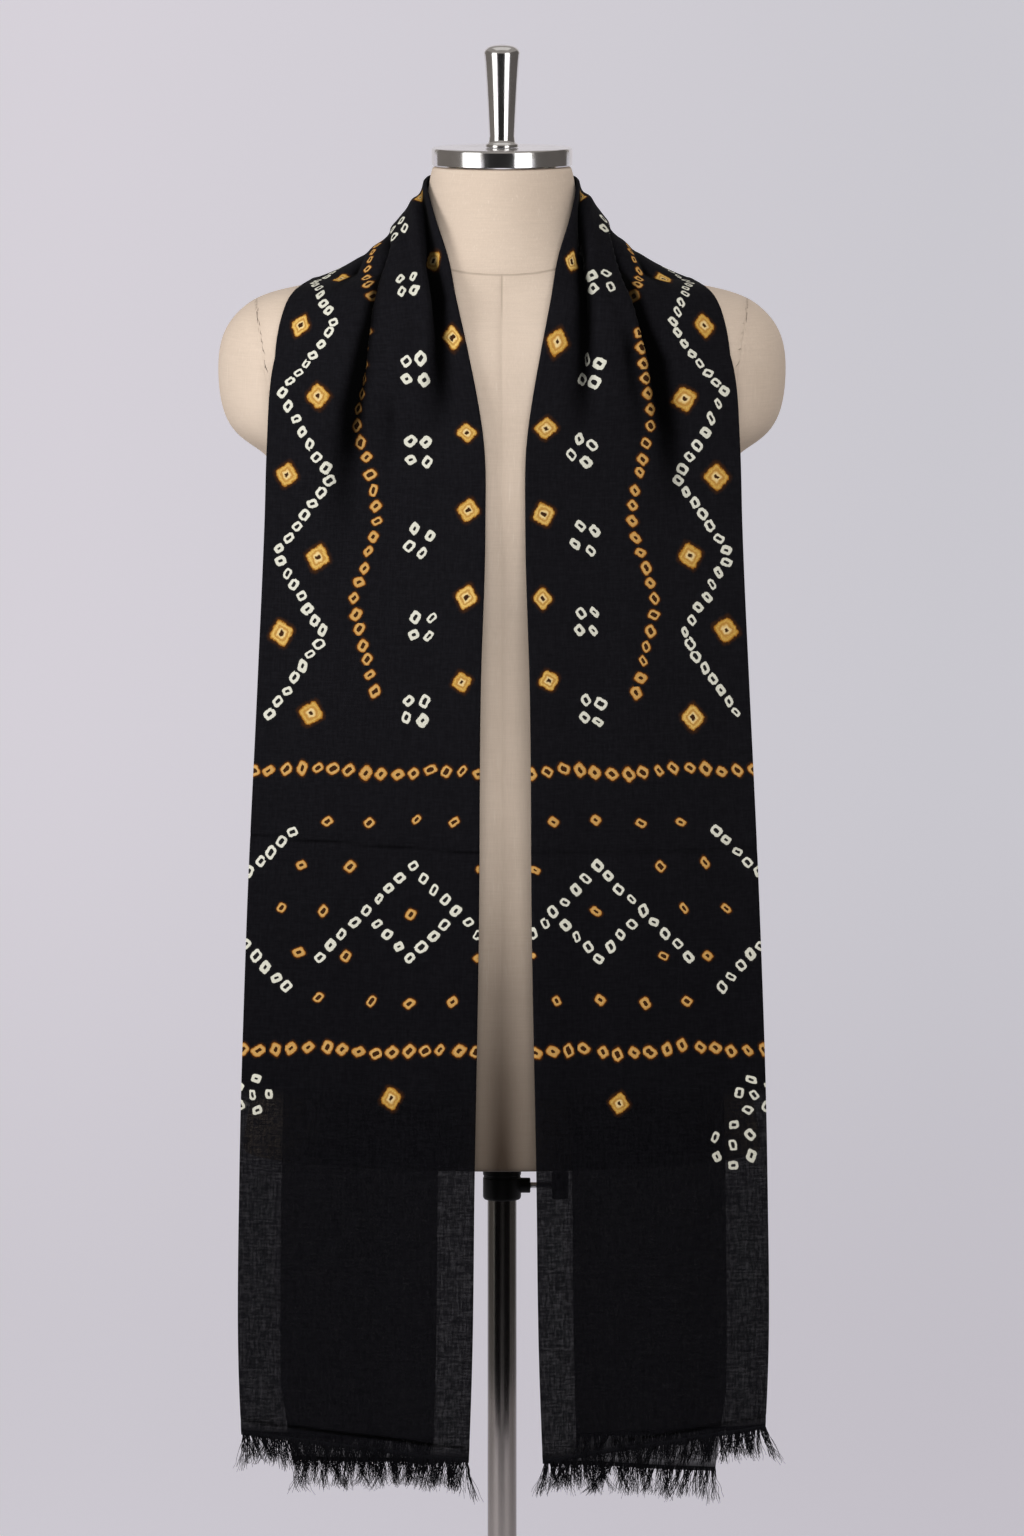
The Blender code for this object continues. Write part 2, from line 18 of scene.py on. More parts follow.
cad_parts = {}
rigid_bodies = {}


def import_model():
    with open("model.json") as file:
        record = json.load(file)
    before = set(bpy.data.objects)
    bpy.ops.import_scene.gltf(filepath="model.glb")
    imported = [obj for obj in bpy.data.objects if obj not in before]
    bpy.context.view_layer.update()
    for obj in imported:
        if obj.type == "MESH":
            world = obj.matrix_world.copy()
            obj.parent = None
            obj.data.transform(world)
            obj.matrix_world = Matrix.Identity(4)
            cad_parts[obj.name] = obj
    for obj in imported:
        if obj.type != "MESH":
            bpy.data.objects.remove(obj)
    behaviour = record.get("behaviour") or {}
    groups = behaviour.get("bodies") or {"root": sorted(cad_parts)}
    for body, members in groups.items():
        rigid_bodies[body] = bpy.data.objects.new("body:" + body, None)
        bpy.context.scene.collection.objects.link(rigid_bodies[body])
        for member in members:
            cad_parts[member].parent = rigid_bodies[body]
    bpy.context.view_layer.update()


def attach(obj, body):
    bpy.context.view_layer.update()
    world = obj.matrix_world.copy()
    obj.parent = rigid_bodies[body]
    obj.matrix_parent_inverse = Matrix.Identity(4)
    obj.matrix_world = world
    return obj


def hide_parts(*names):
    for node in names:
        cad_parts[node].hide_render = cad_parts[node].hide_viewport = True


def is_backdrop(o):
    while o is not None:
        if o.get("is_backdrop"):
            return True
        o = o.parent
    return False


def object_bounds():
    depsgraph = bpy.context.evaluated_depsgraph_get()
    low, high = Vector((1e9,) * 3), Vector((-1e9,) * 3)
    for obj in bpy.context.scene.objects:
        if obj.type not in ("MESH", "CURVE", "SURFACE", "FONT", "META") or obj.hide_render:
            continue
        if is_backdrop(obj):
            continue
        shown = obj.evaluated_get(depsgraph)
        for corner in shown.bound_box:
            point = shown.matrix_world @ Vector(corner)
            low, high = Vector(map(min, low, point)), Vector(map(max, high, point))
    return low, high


for old in list(bpy.data.objects):
    bpy.data.objects.remove(old, do_unlink=True)

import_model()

# ---------------------------------------------------------------------------------------------
# The base is a round plate of spun steel that stands flat on the floor. A raised socket in its
# middle holds the pole. The photo ends above it, so it is a plain one of the usual kind.

MM = 0.001
BASE_RADIUS = 170 * MM
BASE_RINGS = (  # radius, height
    (170.0, 1.5), (170.0, 6.0), (168.5, 7.6), (166.0, 8.0), (150.0, 8.7), (120.0, 10.0),
    (85.0, 12.0), (50.0, 14.0), (31.0, 15.0), (26.0, 16.0), (23.4, 19.0), (23.0, 23.0),
    (23.0, 32.0), (22.4, 33.4), (21.0, 34.0), (11.2, 34.0), (11.2, 29.0),
)


def open_new(name, add, **start):
    """Adds a primitive with nothing else selected, names it and opens it in edit mode."""
    if bpy.context.object and bpy.context.object.mode != "OBJECT":
        bpy.ops.object.mode_set(mode="OBJECT")
    bpy.ops.object.select_all(action="DESELECT")
    add(**start)
    made = bpy.context.object
    made.name = made.data.name = name
    bpy.ops.object.mode_set(mode="EDIT")
    bpy.ops.mesh.select_all(action="SELECT")
    return made


def draw_up(rings, unit=MM):
    """Extrudes the selected ring about Z through rings of (radius, height)."""
    for (radius, height), (next_radius, next_height) in zip(rings, rings[1:]):
        rise = (0.0, 0.0, (next_height - height) * unit)
        bpy.ops.mesh.extrude_edges_move(TRANSFORM_OT_translate={"value": rise})
        ratio = next_radius / radius
        bpy.ops.transform.resize(value=(ratio, ratio, 1.0), center_override=(0, 0, height * unit))


def pick(kind, test):
    """In the open mesh, selects only those verts, edges or faces for which the test is true."""
    shape = bmesh.from_edit_mesh(bpy.context.edit_object.data)
    modes = {"verts": "VERT", "edges": "EDGE", "faces": "FACE"}
    bpy.ops.mesh.select_mode(type=modes[kind])
    bpy.ops.mesh.select_all(action="DESELECT")
    for part in getattr(shape, kind):
        if test(part):
            part.select_set(True)
    shape.select_flush_mode()
    bmesh.update_edit_mesh(bpy.context.edit_object.data)


def close_shape(made, angle=30.0):
    """Turns all faces outwards, leaves edit mode and smooths all but the sharp edges."""
    bpy.ops.mesh.select_all(action="SELECT")
    bpy.ops.mesh.remove_doubles(threshold=1e-6)
    bpy.ops.mesh.normals_make_consistent(inside=False)
    bpy.ops.object.mode_set(mode="OBJECT")
    bpy.ops.object.transform_apply(location=True, rotation=True, scale=True)
    bpy.ops.object.shade_smooth_by_angle(angle=math.radians(angle))
    return made


class Wire:
    """A socket of a material's nodes. Arithmetic on a value adds the Math nodes that it needs."""

    def __init__(self, socket):
        self.socket = socket

    def node(self, kind, settings, inputs, output=0):
        """Adds a node: its settings are set first, then the values or wires of its inputs."""
        tree = self.socket.id_data
        made = tree.nodes.new(kind)
        for name, value in settings.items():
            if name == "stops":
                while len(made.color_ramp.elements) < len(value):
                    made.color_ramp.elements.new(0.5)
                for stop, (place, colour) in zip(made.color_ramp.elements, value):
                    stop.position = place
                    stop.color = (*colour, 1.0)
            else:
                setattr(made, name, value)
        for name, value in inputs.items():
            if isinstance(value, Wire):
                tree.links.new(value.socket, made.inputs[name])
            else:
                made.inputs[name].default_value = value
        return Wire(made.outputs[output])

    def into(self, shader, name):
        self.socket.id_data.links.new(self.socket, shader.inputs[name])

    def math(self, operation, first, second=0.0):
        return self.node("ShaderNodeMath", {"operation": operation}, {0: first, 1: second})

    def __add__(self, other):
        return self.math("ADD", self, other)

    __radd__ = __add__

    def __sub__(self, other):
        return self.math("SUBTRACT", self, other)

    def __rsub__(self, other):
        return self.math("SUBTRACT", other, self)

    def __mul__(self, other):
        return self.math("MULTIPLY", self, other)

    __rmul__ = __mul__

    def __truediv__(self, other):
        return self.math("DIVIDE", self, other)

    def __rtruediv__(self, other):
        return self.math("DIVIDE", other, self)

    def __pow__(self, other):
        return self.math("POWER", self, other)

    def __rpow__(self, other):
        return self.math("POWER", other, self)

    def __abs__(self):
        return self.math("ABSOLUTE", self)

    def smaller(self, other):
        return self.math("MINIMUM", self, other)

    def larger(self, other):
        return self.math("MAXIMUM", self, other)

    def rise(self, low, high):
        """0 below low, 1 above high and a smooth step between. It falls where low is above high."""
        return self.node("ShaderNodeMapRange", {"interpolation_type": "SMOOTHSTEP"},
                         {"Value": self, "From Min": low, "From Max": high})

    def tint(self, low, high):
        """A colour from low, where this value is 0, to high, where it is 1."""
        rgba = [colour if isinstance(colour, Wire) else (*colour, 1.0) for colour in (low, high)]
        return self.node("ShaderNodeMix", {"data_type": "RGBA"}, {0: self, 6: rgba[0], 7: rgba[1]}, 2)

    def axis(self, index):
        return self.node("ShaderNodeSeparateXYZ", {}, {"Vector": self}, index)

    def scaled(self, x, y, z):
        """This vector with each axis multiplied, to stretch a pattern."""
        return self.node("ShaderNodeVectorMath", {"operation": "MULTIPLY"}, {0: self, 1: (x, y, z)})

    def noise(self, scale, detail=2.0, roughness=0.5):
        return self.node("ShaderNodeTexNoise", {},
                         {"Vector": self, "Scale": scale, "Detail": detail, "Roughness": roughness})

    def bump(self, strength, distance):
        return self.node("ShaderNodeBump", {},
                         {"Height": self, "Strength": strength, "Distance": distance})


def new_finish(name, **fixed):
    """A material, its shader with the fixed values set on it, and a wire of Object coordinates."""
    made = bpy.data.materials.new(name)
    made.use_nodes = True
    shader = made.node_tree.nodes["Principled BSDF"]
    for socket, value in fixed.items():
        shader.inputs[socket.replace("_", " ")].default_value = value
    place = made.node_tree.nodes.new("ShaderNodeTexCoord").outputs["Object"]
    return made, shader, Wire(place)


def settle(piece, finish, body, slot, *nodes):
    """Gives a finished piece its material and its body and hides the CAD nodes it stands for. The slot is not
    used.
    """
    piece.data.materials.clear()
    piece.data.materials.append(finish)
    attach(piece, body)
    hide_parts(*nodes)


base_plate = open_new("base_plate", bpy.ops.mesh.primitive_circle_add, vertices=160,
                      radius=BASE_RADIUS - 1.5 * MM, location=(0, 0, 0))
bpy.ops.mesh.edge_face_add()
bpy.ops.mesh.extrude_region_move(TRANSFORM_OT_translate={"value": (0, 0, 1.5 * MM)})
bpy.ops.transform.resize(value=[BASE_RADIUS / (BASE_RADIUS - 1.5 * MM)] * 2 + [1])
bpy.ops.mesh.delete(type="ONLY_FACE")
pick("edges", lambda edge: all(v.co.z > 1 * MM for v in edge.verts))
draw_up(BASE_RINGS)
bpy.ops.mesh.edge_face_add()
close_shape(base_plate, 40)

spun_steel, shader, place = new_finish("spun_steel", Metallic=1.0)
radius = place.node("ShaderNodeVectorMath", {"operation": "LENGTH"}, {0: place.scaled(1, 1, 0)}, 1)
turned_lines = radius.node("ShaderNodeTexNoise", {"noise_dimensions": "1D"},
                           {"W": radius, "Scale": 1400.0, "Detail": 3.0})
scuffs = place.noise(38.0, 5.0, 0.62).rise(0.52, 0.75)
turned_lines.tint((0.50, 0.50, 0.51), (0.66, 0.66, 0.67)).into(shader, "Base Color")
(0.24 + 0.10 * turned_lines + 0.14 * scuffs).into(shader, "Roughness")
turned_lines.bump(0.25, 0.05 * MM).into(shader, "Normal")
settle(base_plate, spun_steel, "stand", "steel_base", "base")

# ---------------------------------------------------------------------------------------------
# The pole is a drawn steel tube, satin finished along its length. It stands in the base's
# socket and runs up inside the form, which slides on it. Above about 0.6 m its colour is
# painted darker: painted shade under the form and a painted reflection of the black stole.

POLE_RADIUS = 10.5 * MM
POLE_FOOT = 9 * MM
POLE_TOP = 1.075

pole_tube = open_new("pole_tube", bpy.ops.mesh.primitive_cylinder_add, vertices=96,
                     radius=POLE_RADIUS, depth=POLE_TOP - POLE_FOOT,
                     location=(0, 0, (POLE_TOP + POLE_FOOT) / 2))
pick("edges", lambda edge: abs(edge.verts[0].co.z - edge.verts[1].co.z) < MM)
bpy.ops.mesh.bevel(offset=0.8 * MM, segments=3)
close_shape(pole_tube)

satin_steel, shader, place = new_finish("satin_steel", Metallic=1.0)
drawn_lines = place.scaled(1600.0, 1600.0, 9.0).noise(1.0, 3.0)
handling = place.scaled(60.0, 60.0, 14.0).noise(1.0, 4.0).rise(0.45, 0.8)
# Above about 0.6 m the steel is painted darker: painted shade and a painted reflection of the stole.
painted_shade_steel = drawn_lines.tint((0.140, 0.132, 0.119), (0.235, 0.223, 0.205))
unshaded_steel = drawn_lines.tint((0.25, 0.23, 0.21), (0.40, 0.37, 0.34))
place.axis(2).rise(0.625, 0.585).tint(painted_shade_steel, unshaded_steel).into(shader, "Base Color")
(0.16 + 0.12 * drawn_lines + 0.12 * handling).into(shader, "Roughness")
drawn_lines.bump(0.2, 0.03 * MM).into(shader, "Normal")
settle(pole_tube, satin_steel, "stand", "steel_tube", "pole")

# ---------------------------------------------------------------------------------------------
# The clamp collar is a short moulded sleeve of black plastic under the form. A boss on its side
# takes the thumbscrew, which presses on the pole and holds the form at its height.

COLLAR_TOP = 775.7
COLLAR_RINGS = (  # radius, height in mm, from the bore's lower edge up the outside
    (11.2, 742.4), (11.9, 741.9), (12.8, 742.1), (13.5, 742.9), (13.8, 744.2), (13.8, 757.5),
    (13.3, 758.0), (13.3, 759.6), (13.8, 760.1), (13.8, COLLAR_TOP - 0.4), (13.4, COLLAR_TOP),
    (11.2, COLLAR_TOP), (11.2, 742.4),
)
SCREW_HEIGHT = 0.752
BOSS_RADIUS = 5.5 * MM
BOSS_END = 20 * MM

clamp_sleeve = open_new("clamp_sleeve", bpy.ops.mesh.primitive_circle_add, vertices=72,
                        radius=COLLAR_RINGS[0][0] * MM, location=(0, 0, COLLAR_RINGS[0][1] * MM))
bpy.ops.object.mode_set(mode="OBJECT")
bpy.ops.object.transform_apply(location=True)
bpy.ops.object.mode_set(mode="EDIT")
bpy.ops.mesh.select_all(action="SELECT")
draw_up(COLLAR_RINGS)
close_shape(clamp_sleeve, 35)

screw_boss = open_new("screw_boss", bpy.ops.mesh.primitive_cylinder_add, vertices=40,
                      radius=BOSS_RADIUS, depth=BOSS_END - 12 * MM, rotation=(0, math.pi / 2, 0),
                      location=((BOSS_END + 12 * MM) / 2, 0, SCREW_HEIGHT))
pick("faces", lambda face: face.calc_center_median().z > 3 * MM and len(face.verts) > 4)
bpy.ops.mesh.inset(thickness=0.7 * MM, depth=0.5 * MM)
bpy.ops.mesh.inset(thickness=2.0 * MM)
bpy.ops.mesh.extrude_region_move(TRANSFORM_OT_translate={"value": (-1.2 * MM, 0, 0)})
close_shape(screw_boss, 35)

black_plastic, shader, place = new_finish("black_plastic", IOR=1.48, Specular_IOR_Level=0.12)
grain = place.noise(2600.0, 2.0)
dust = place.noise(90.0, 4.0, 0.6).rise(0.55, 0.8)
dust.tint((0.0012, 0.0012, 0.0013), (0.0050, 0.0050, 0.0055)).into(shader, "Base Color")
(0.42 + 0.16 * grain + 0.12 * dust).into(shader, "Roughness")
grain.bump(0.35, 0.05 * MM).into(shader, "Normal")
settle(clamp_sleeve, black_plastic, "form", "black_plastic", "clamp_collar")
settle(screw_boss, black_plastic, "form", "black_plastic", "clamp_collar")

# ---------------------------------------------------------------------------------------------
# The thumbscrew has a steel stem and a moulded black knob with six lobes. The stole hides the
# knob in the photo, so the knob is a plain one of the usual kind.

STEM_START = 10.8 * MM
STEM_RADIUS = 2.2 * MM
KNOB_START = 36 * MM
KNOB_LENGTH = 11 * MM
KNOB_RADIUS = 10 * MM
LOBES = 6

screw_stem = open_new("screw_stem", bpy.ops.mesh.primitive_cylinder_add, vertices=24,
                      radius=STEM_RADIUS, depth=KNOB_START + 2 * MM - STEM_START,
                      rotation=(0, math.pi / 2, 0),
                      location=((KNOB_START + 2 * MM + STEM_START) / 2, 0, SCREW_HEIGHT))
pick("edges", lambda edge: abs(edge.verts[0].co.z - edge.verts[1].co.z) < 0.1 * MM)
bpy.ops.mesh.bevel(offset=0.3 * MM, segments=2)
close_shape(screw_stem)

screw_knob = open_new("screw_knob", bpy.ops.mesh.primitive_cylinder_add, vertices=LOBES * 12,
                      radius=KNOB_RADIUS * 1.05, depth=KNOB_LENGTH, rotation=(0, math.pi / 2, 0),
                      location=(KNOB_START + KNOB_LENGTH / 2, 0, SCREW_HEIGHT))
for lobe in range(LOBES):  # the hollows between the lobes, pushed in a third of the way round
    hollow = math.tau * (lobe + 0.5) / LOBES
    toward = Vector((math.cos(hollow), math.sin(hollow), 0))
    for reach, push in ((0.86, 0.35), (0.93, 0.45), (0.975, 0.5)):
        pick("verts", lambda v: v.co.xy.length > KNOB_RADIUS * 0.5
             and v.co.xy.normalized().dot(toward.xy) > reach)
        inward = -push * MM
        bpy.ops.transform.translate(value=(0, toward.y * inward, -toward.x * inward))
pick("edges", lambda edge: abs(edge.verts[0].co.z - edge.verts[1].co.z) < 0.1 * MM)
bpy.ops.mesh.bevel(offset=1.2 * MM, segments=3)
pick("faces", lambda face: abs(face.calc_center_median().z - KNOB_LENGTH / 2) < 0.1 * MM)
bpy.ops.mesh.inset(thickness=2.2 * MM)
bpy.ops.mesh.inset(thickness=0.5 * MM, depth=-0.6 * MM)
close_shape(screw_knob, 35)

threaded_steel, shader, place = new_finish("threaded_steel", Metallic=1.0)
thread = place.node("ShaderNodeMath", {"operation": "SINE"}, {0: place.axis(0) * (math.tau / (0.8 * MM))})
# The colour follows the thread, dark in its roots and light on its crests: painted shade in the roots.
(thread * 0.5 + 0.5).tint((0.32, 0.32, 0.33), (0.62, 0.62, 0.63)).into(shader, "Base Color")
(0.28 + 0.08 * thread).into(shader, "Roughness")
thread.bump(0.6, 0.12 * MM).into(shader, "Normal")
settle(screw_stem, threaded_steel, "screw", "black_plastic", "clamp_knob")
settle(screw_knob, black_plastic, "screw", "black_plastic", "clamp_knob")

# ---------------------------------------------------------------------------------------------
# The body is a hard padded shell covered in sewn linen: two front panels, two backs, a neck
# piece and a cap over each arm's end. Its seams are pressed flat and pulled slightly in.

BODY_LEVELS = (  # height, half width, front, back, in mm
    (776.0, 184.0, 104.0, 99.0), (778.5, 186.6, 106.6, 101.6), (782.0, 188.0, 108.0, 103.0),
    (812.0, 182.5, 109.5, 104.5), (842.0, 176.0, 110.0, 106.0), (898.0, 168.5, 108.5, 102.5),
    (954.0, 163.0, 106.0, 98.0), (1040.0, 154.0, 101.0, 90.0), (1124.0, 148.0, 99.0, 86.0),
    (1190.0, 154.0, 106.0, 88.0), (1238.0, 160.0, 112.0, 92.0), (1268.0, 163.5, 113.0, 95.0),
    (1280.0, 167.0, 112.5, 96.0), (1287.0, 176.0, 112.0, 96.5), (1295.0, 189.0, 111.0, 97.0),
    (1307.0, 198.3, 110.0, 97.0), (1324.0, 203.0, 107.5, 97.0), (1346.0, 204.3, 104.0, 95.5),
    (1362.0, 202.6, 101.0, 93.0), (1373.0, 198.4, 96.0, 90.0), (1381.0, 193.0, 92.0, 87.0),
    (1388.0, 186.0, 87.5, 83.0), (1394.5, 177.0, 83.0, 78.5), (1400.0, 162.0, 79.5, 75.5),
    (1404.0, 141.0, 78.0, 74.0), (1408.5, 116.5, 77.0, 73.3), (1414.5, 93.0, 75.5, 72.5),
    (1423.0, 75.0, 72.5, 69.5), (1434.0, 63.5, 67.5, 64.5), (1447.0, 57.0, 62.0, 59.5),
    (1462.0, 54.0, 57.5, 56.0), (1477.0, 52.2, 53.0, 53.0), (1487.5, 50.2, 50.2, 50.2),
    (1489.0, 48.8, 48.8, 48.8),
)
BODY_SIDES = 64
BORE_RADIUS = 11.2 * MM
SEAM_WIDTH = 0.8 * MM
SEAM_DEPTH = 0.35 * MM
CAP_SEAM_FOOT = Vector((160 * MM, 0, 1.286))  # where an arm cap's seam starts under the arm
CAP_SEAM_LEAN = 0.145  # metres outwards for each metre up
NECK_SEAM_FRONT = Vector((0, -75.5 * MM, 1.4155))
NECK_SEAM_RISE = 0.38  # metres up for each metre back

body = open_new("linen_body", bpy.ops.mesh.primitive_circle_add, vertices=BODY_SIDES,
                radius=BORE_RADIUS, location=(0, 0, 0))
bpy.ops.transform.translate(value=(0, 0, BODY_LEVELS[0][0] * MM + 30 * MM))
bpy.ops.mesh.extrude_edges_move(TRANSFORM_OT_translate={"value": (0, 0, -30 * MM)})
low = BODY_LEVELS[0]
for share in (0.5, 1.0):  # the flat underside, out to the lower edge
    bpy.ops.mesh.extrude_edges_move(TRANSFORM_OT_translate={"value": (0, 0, 0)})
    wide = BORE_RADIUS + (low[1] * MM - BORE_RADIUS) * share
    deep = BORE_RADIUS + (low[2] * MM - BORE_RADIUS) * share
    was = BORE_RADIUS if share == 0.5 else BORE_RADIUS + (low[1] * MM - BORE_RADIUS) * 0.5
    was_deep = BORE_RADIUS if share == 0.5 else BORE_RADIUS + (low[2] * MM - BORE_RADIUS) * 0.5
    bpy.ops.transform.resize(value=(wide / was, deep / was_deep, 1), center_override=(0, 0, 0.776))
for before, level in zip(BODY_LEVELS, BODY_LEVELS[1:]):
    rise = (0, 0, (level[0] - before[0]) * MM)
    bpy.ops.mesh.extrude_edges_move(TRANSFORM_OT_translate={"value": rise})
    bpy.ops.transform.resize(value=(level[1] / before[1], level[2] / before[2], 1),
                             center_override=(0, 0, level[0] * MM))
bpy.ops.mesh.edge_face_add()
bpy.ops.mesh.inset(thickness=12 * MM)
for low, high in zip(BODY_LEVELS, BODY_LEVELS[1:]):  # the back is flatter than the front
    for level in ((low, high) if low is BODY_LEVELS[0] else (high,)):
        pick("verts", lambda v: v.co.y > 0 and abs(v.co.z - level[0] * MM) < 0.1 * MM)
        bpy.ops.transform.resize(value=(1, level[3] / level[2], 1), center_override=(0, 0, 0))
pick("edges", lambda edge: all(v.co.xy.length < BORE_RADIUS * 1.01 for v in edge.verts)
     and all(v.co.z > 0.78 for v in edge.verts) and all(v.co.z < 0.9 for v in edge.verts))
bpy.ops.mesh.edge_face_add()
bpy.ops.mesh.select_all(action="SELECT")
bpy.ops.mesh.normals_make_consistent(inside=False)
bpy.ops.object.mode_set(mode="OBJECT")
rounding = body.modifiers.new("rounding", "SUBSURF")
rounding.levels = rounding.render_levels = 2
bpy.ops.object.modifier_apply(modifier="rounding")
bpy.ops.object.mode_set(mode="EDIT")
bpy.ops.mesh.select_mode(type="FACE")


def seam(reached, point, normal):
    """Cuts a line round the faces that are reached and draws the cloth in along it."""
    normal = Vector(normal).normalized()
    point = Vector(point)
    pick("faces", lambda face: reached(face.calc_center_median()))
    bpy.ops.mesh.bisect(plane_co=point, plane_no=normal)
    on_line = lambda co: abs((co - point).dot(normal)) < 0.02 * MM
    pick("edges", lambda edge: all(on_line(v.co) and reached(v.co) for v in edge.verts))
    bpy.ops.mesh.bevel(offset=SEAM_WIDTH, segments=2, profile=0.5)
    pick("verts", lambda v: on_line(v.co) and reached(v.co))
    bpy.ops.transform.shrink_fatten(value=-SEAM_DEPTH)


def outside(co):
    """Whether a place is on the body's outside, not in its bore or underneath."""
    return co.xy.length > 30 * MM and 0.777 < co.z < 1.4885


neck_normal = Vector((0, -NECK_SEAM_RISE, 1))
below_neck = lambda co: outside(co) and (co - NECK_SEAM_FRONT).dot(neck_normal) < 0.5 * MM
seam(outside, NECK_SEAM_FRONT, neck_normal)
seam(below_neck, (0, 0, 0), (1, 0, 0))
for side in (-1, 1):
    foot = Vector((side * CAP_SEAM_FOOT.x, 0, CAP_SEAM_FOOT.z))
    lean = Vector((side, 0, -CAP_SEAM_LEAN))
    seam(lambda co: outside(co) and co.x * side > 0.13 and co.z > 1.27, foot, lean)
close_shape(body, 60)

linen, shader, place = new_finish("linen", Roughness=0.86, Sheen_Weight=0.06, Sheen_Roughness=0.4,
                                  Specular_IOR_Level=0.3)
threads_up = place.scaled(1500.0, 1500.0, 60.0).noise(1.0, 2.0)
threads_round = place.scaled(60.0, 60.0, 1500.0).noise(1.0, 2.0)
slubs = place.scaled(900.0, 900.0, 40.0).noise(1.0, 1.0).rise(0.62, 0.78)
mottle = place.noise(9.0, 4.0, 0.55)
weave = (threads_up + threads_round) * 0.5
x, y, z = place.axis(0), place.axis(1), place.axis(2)
below = (z - NECK_SEAM_FRONT.z) - (y - NECK_SEAM_FRONT.y) * NECK_SEAM_RISE
off_neck = abs(below)
off_middle = abs(x) + below.rise(-0.2 * MM, 0.8 * MM)
off_cap = abs(abs(x) - CAP_SEAM_FOOT.x - (z - CAP_SEAM_FOOT.z) * CAP_SEAM_LEAN) + (1.0 - z.rise(1.268, 1.272))
off_seam = off_neck.smaller(off_middle).smaller(off_cap)
in_seam = 1.0 - off_seam.rise(0.1 * MM, 1.0 * MM)
beside_seam = 1.0 - off_seam.rise(1.0 * MM, 7.0 * MM)
tone = weave * 0.5 + mottle * 0.5
cloth = tone.rise(0.30, 0.70).tint((0.610, 0.500, 0.405), (0.720, 0.600, 0.495))
cloth = (slubs * 0.35).tint(cloth, (0.78, 0.68, 0.58))
cloth = (in_seam * (0.50 - 0.44 * z.rise(1.40, 1.38)) + beside_seam * 0.06).tint(cloth, (0.33, 0.26, 0.20))
# Painted shade: the front between the two ends of the stole is darkened, most low down and in the middle.
lower = (z - 0.776) / 0.54
lower = lower.node("ShaderNodeValToRGB", {"stops": (
    (0.0, [0.02] * 3), (0.13, [0.14] * 3), (0.24, [0.34] * 3), (0.36, [0.74] * 3), (0.48, [1.0] * 3),
    (0.62, [0.98] * 3), (0.74, [0.88] * 3), (0.90, [1.0] * 3), (1.0, [0.94] * 3))}, {0: lower}).axis(0)
centre = 2.718 ** (0.0 - (x / 0.011) ** 2)
between = y.rise(-60 * MM, -90 * MM) * (1.0 - abs(x).rise(40 * MM, 80 * MM))
painted_shade = (1.0 - lower) * between * (0.80 + 0.25 * centre)
painted_shade.tint(cloth, (0.045, 0.030, 0.020)).into(shader, "Base Color")
(weave + slubs * 0.5 - beside_seam * mottle * 1.5).bump(0.35, 0.12 * MM).into(shader, "Normal")
settle(body, linen, "form", "linen", "form_torso")

# ---------------------------------------------------------------------------------------------
# The neck cap is a turned disc of polished steel on top of the neck, with its edges broken.

NECK_TOP = 1489.3
CAP_RINGS = (  # radius, height in mm
    (49.2, NECK_TOP), (49.9, NECK_TOP + 0.25), (50.35, NECK_TOP + 1.0), (50.4, NECK_TOP + 1.8),
    (50.4, NECK_TOP + 11.0), (50.3, NECK_TOP + 11.9), (49.9, NECK_TOP + 12.6), (49.0, NECK_TOP + 13.0),
    (47.5, NECK_TOP + 13.0), (30.0, NECK_TOP + 13.0),
)

neck_plate = open_new("neck_plate", bpy.ops.mesh.primitive_circle_add, vertices=160,
                      radius=CAP_RINGS[0][0] * MM)
bpy.ops.transform.translate(value=(0, 0, NECK_TOP * MM))
bpy.ops.mesh.edge_face_add()
pick("edges", lambda edge: True)
draw_up(CAP_RINGS)
bpy.ops.mesh.edge_face_add()
close_shape(neck_plate, 25)

polished_steel, shader, place = new_finish("polished_steel", Metallic=1.0)
hair_lines = place.scaled(30.0, 30.0, 5200.0).noise(1.0, 2.0)
smears = place.noise(34.0, 5.0, 0.6).rise(0.40, 0.78)
smears.tint((0.80, 0.79, 0.78), (0.66, 0.65, 0.64)).into(shader, "Base Color")
(0.09 + 0.05 * hair_lines + 0.07 * smears).into(shader, "Roughness")
hair_lines.bump(0.08, 0.02 * MM).into(shader, "Normal")
settle(neck_plate, polished_steel, "form", "chrome", "neck_cap")

# ---------------------------------------------------------------------------------------------
# The finial is turned from one piece of steel: a flange on the cap, a narrow foot, and a
# tapered grip that widens to a slightly domed head.

FINIAL_FOOT = 1502.6
FINIAL_TOP = 1576.0
FINIAL_RINGS = (  # radius, height in mm
    (11.4, FINIAL_FOOT), (11.8, FINIAL_FOOT + 0.4), (11.8, FINIAL_FOOT + 1.8),
    (11.4, FINIAL_FOOT + 2.4), (10.4, FINIAL_FOOT + 2.9), (9.7, FINIAL_FOOT + 3.8),
    (9.3, FINIAL_FOOT + 5.2), (9.2, FINIAL_FOOT + 8.0), (10.0, FINIAL_FOOT + 24.0),
    (11.1, FINIAL_FOOT + 44.0), (12.4, FINIAL_FOOT + 62.0), (12.9, FINIAL_TOP - 7.2),
    (12.9, FINIAL_TOP - 6.0), (12.5, FINIAL_TOP - 4.6), (11.7, FINIAL_TOP - 3.3),
    (10.3, FINIAL_TOP - 2.1), (8.2, FINIAL_TOP - 1.1), (5.6, FINIAL_TOP - 0.5), (2.6, FINIAL_TOP - 0.1),
)

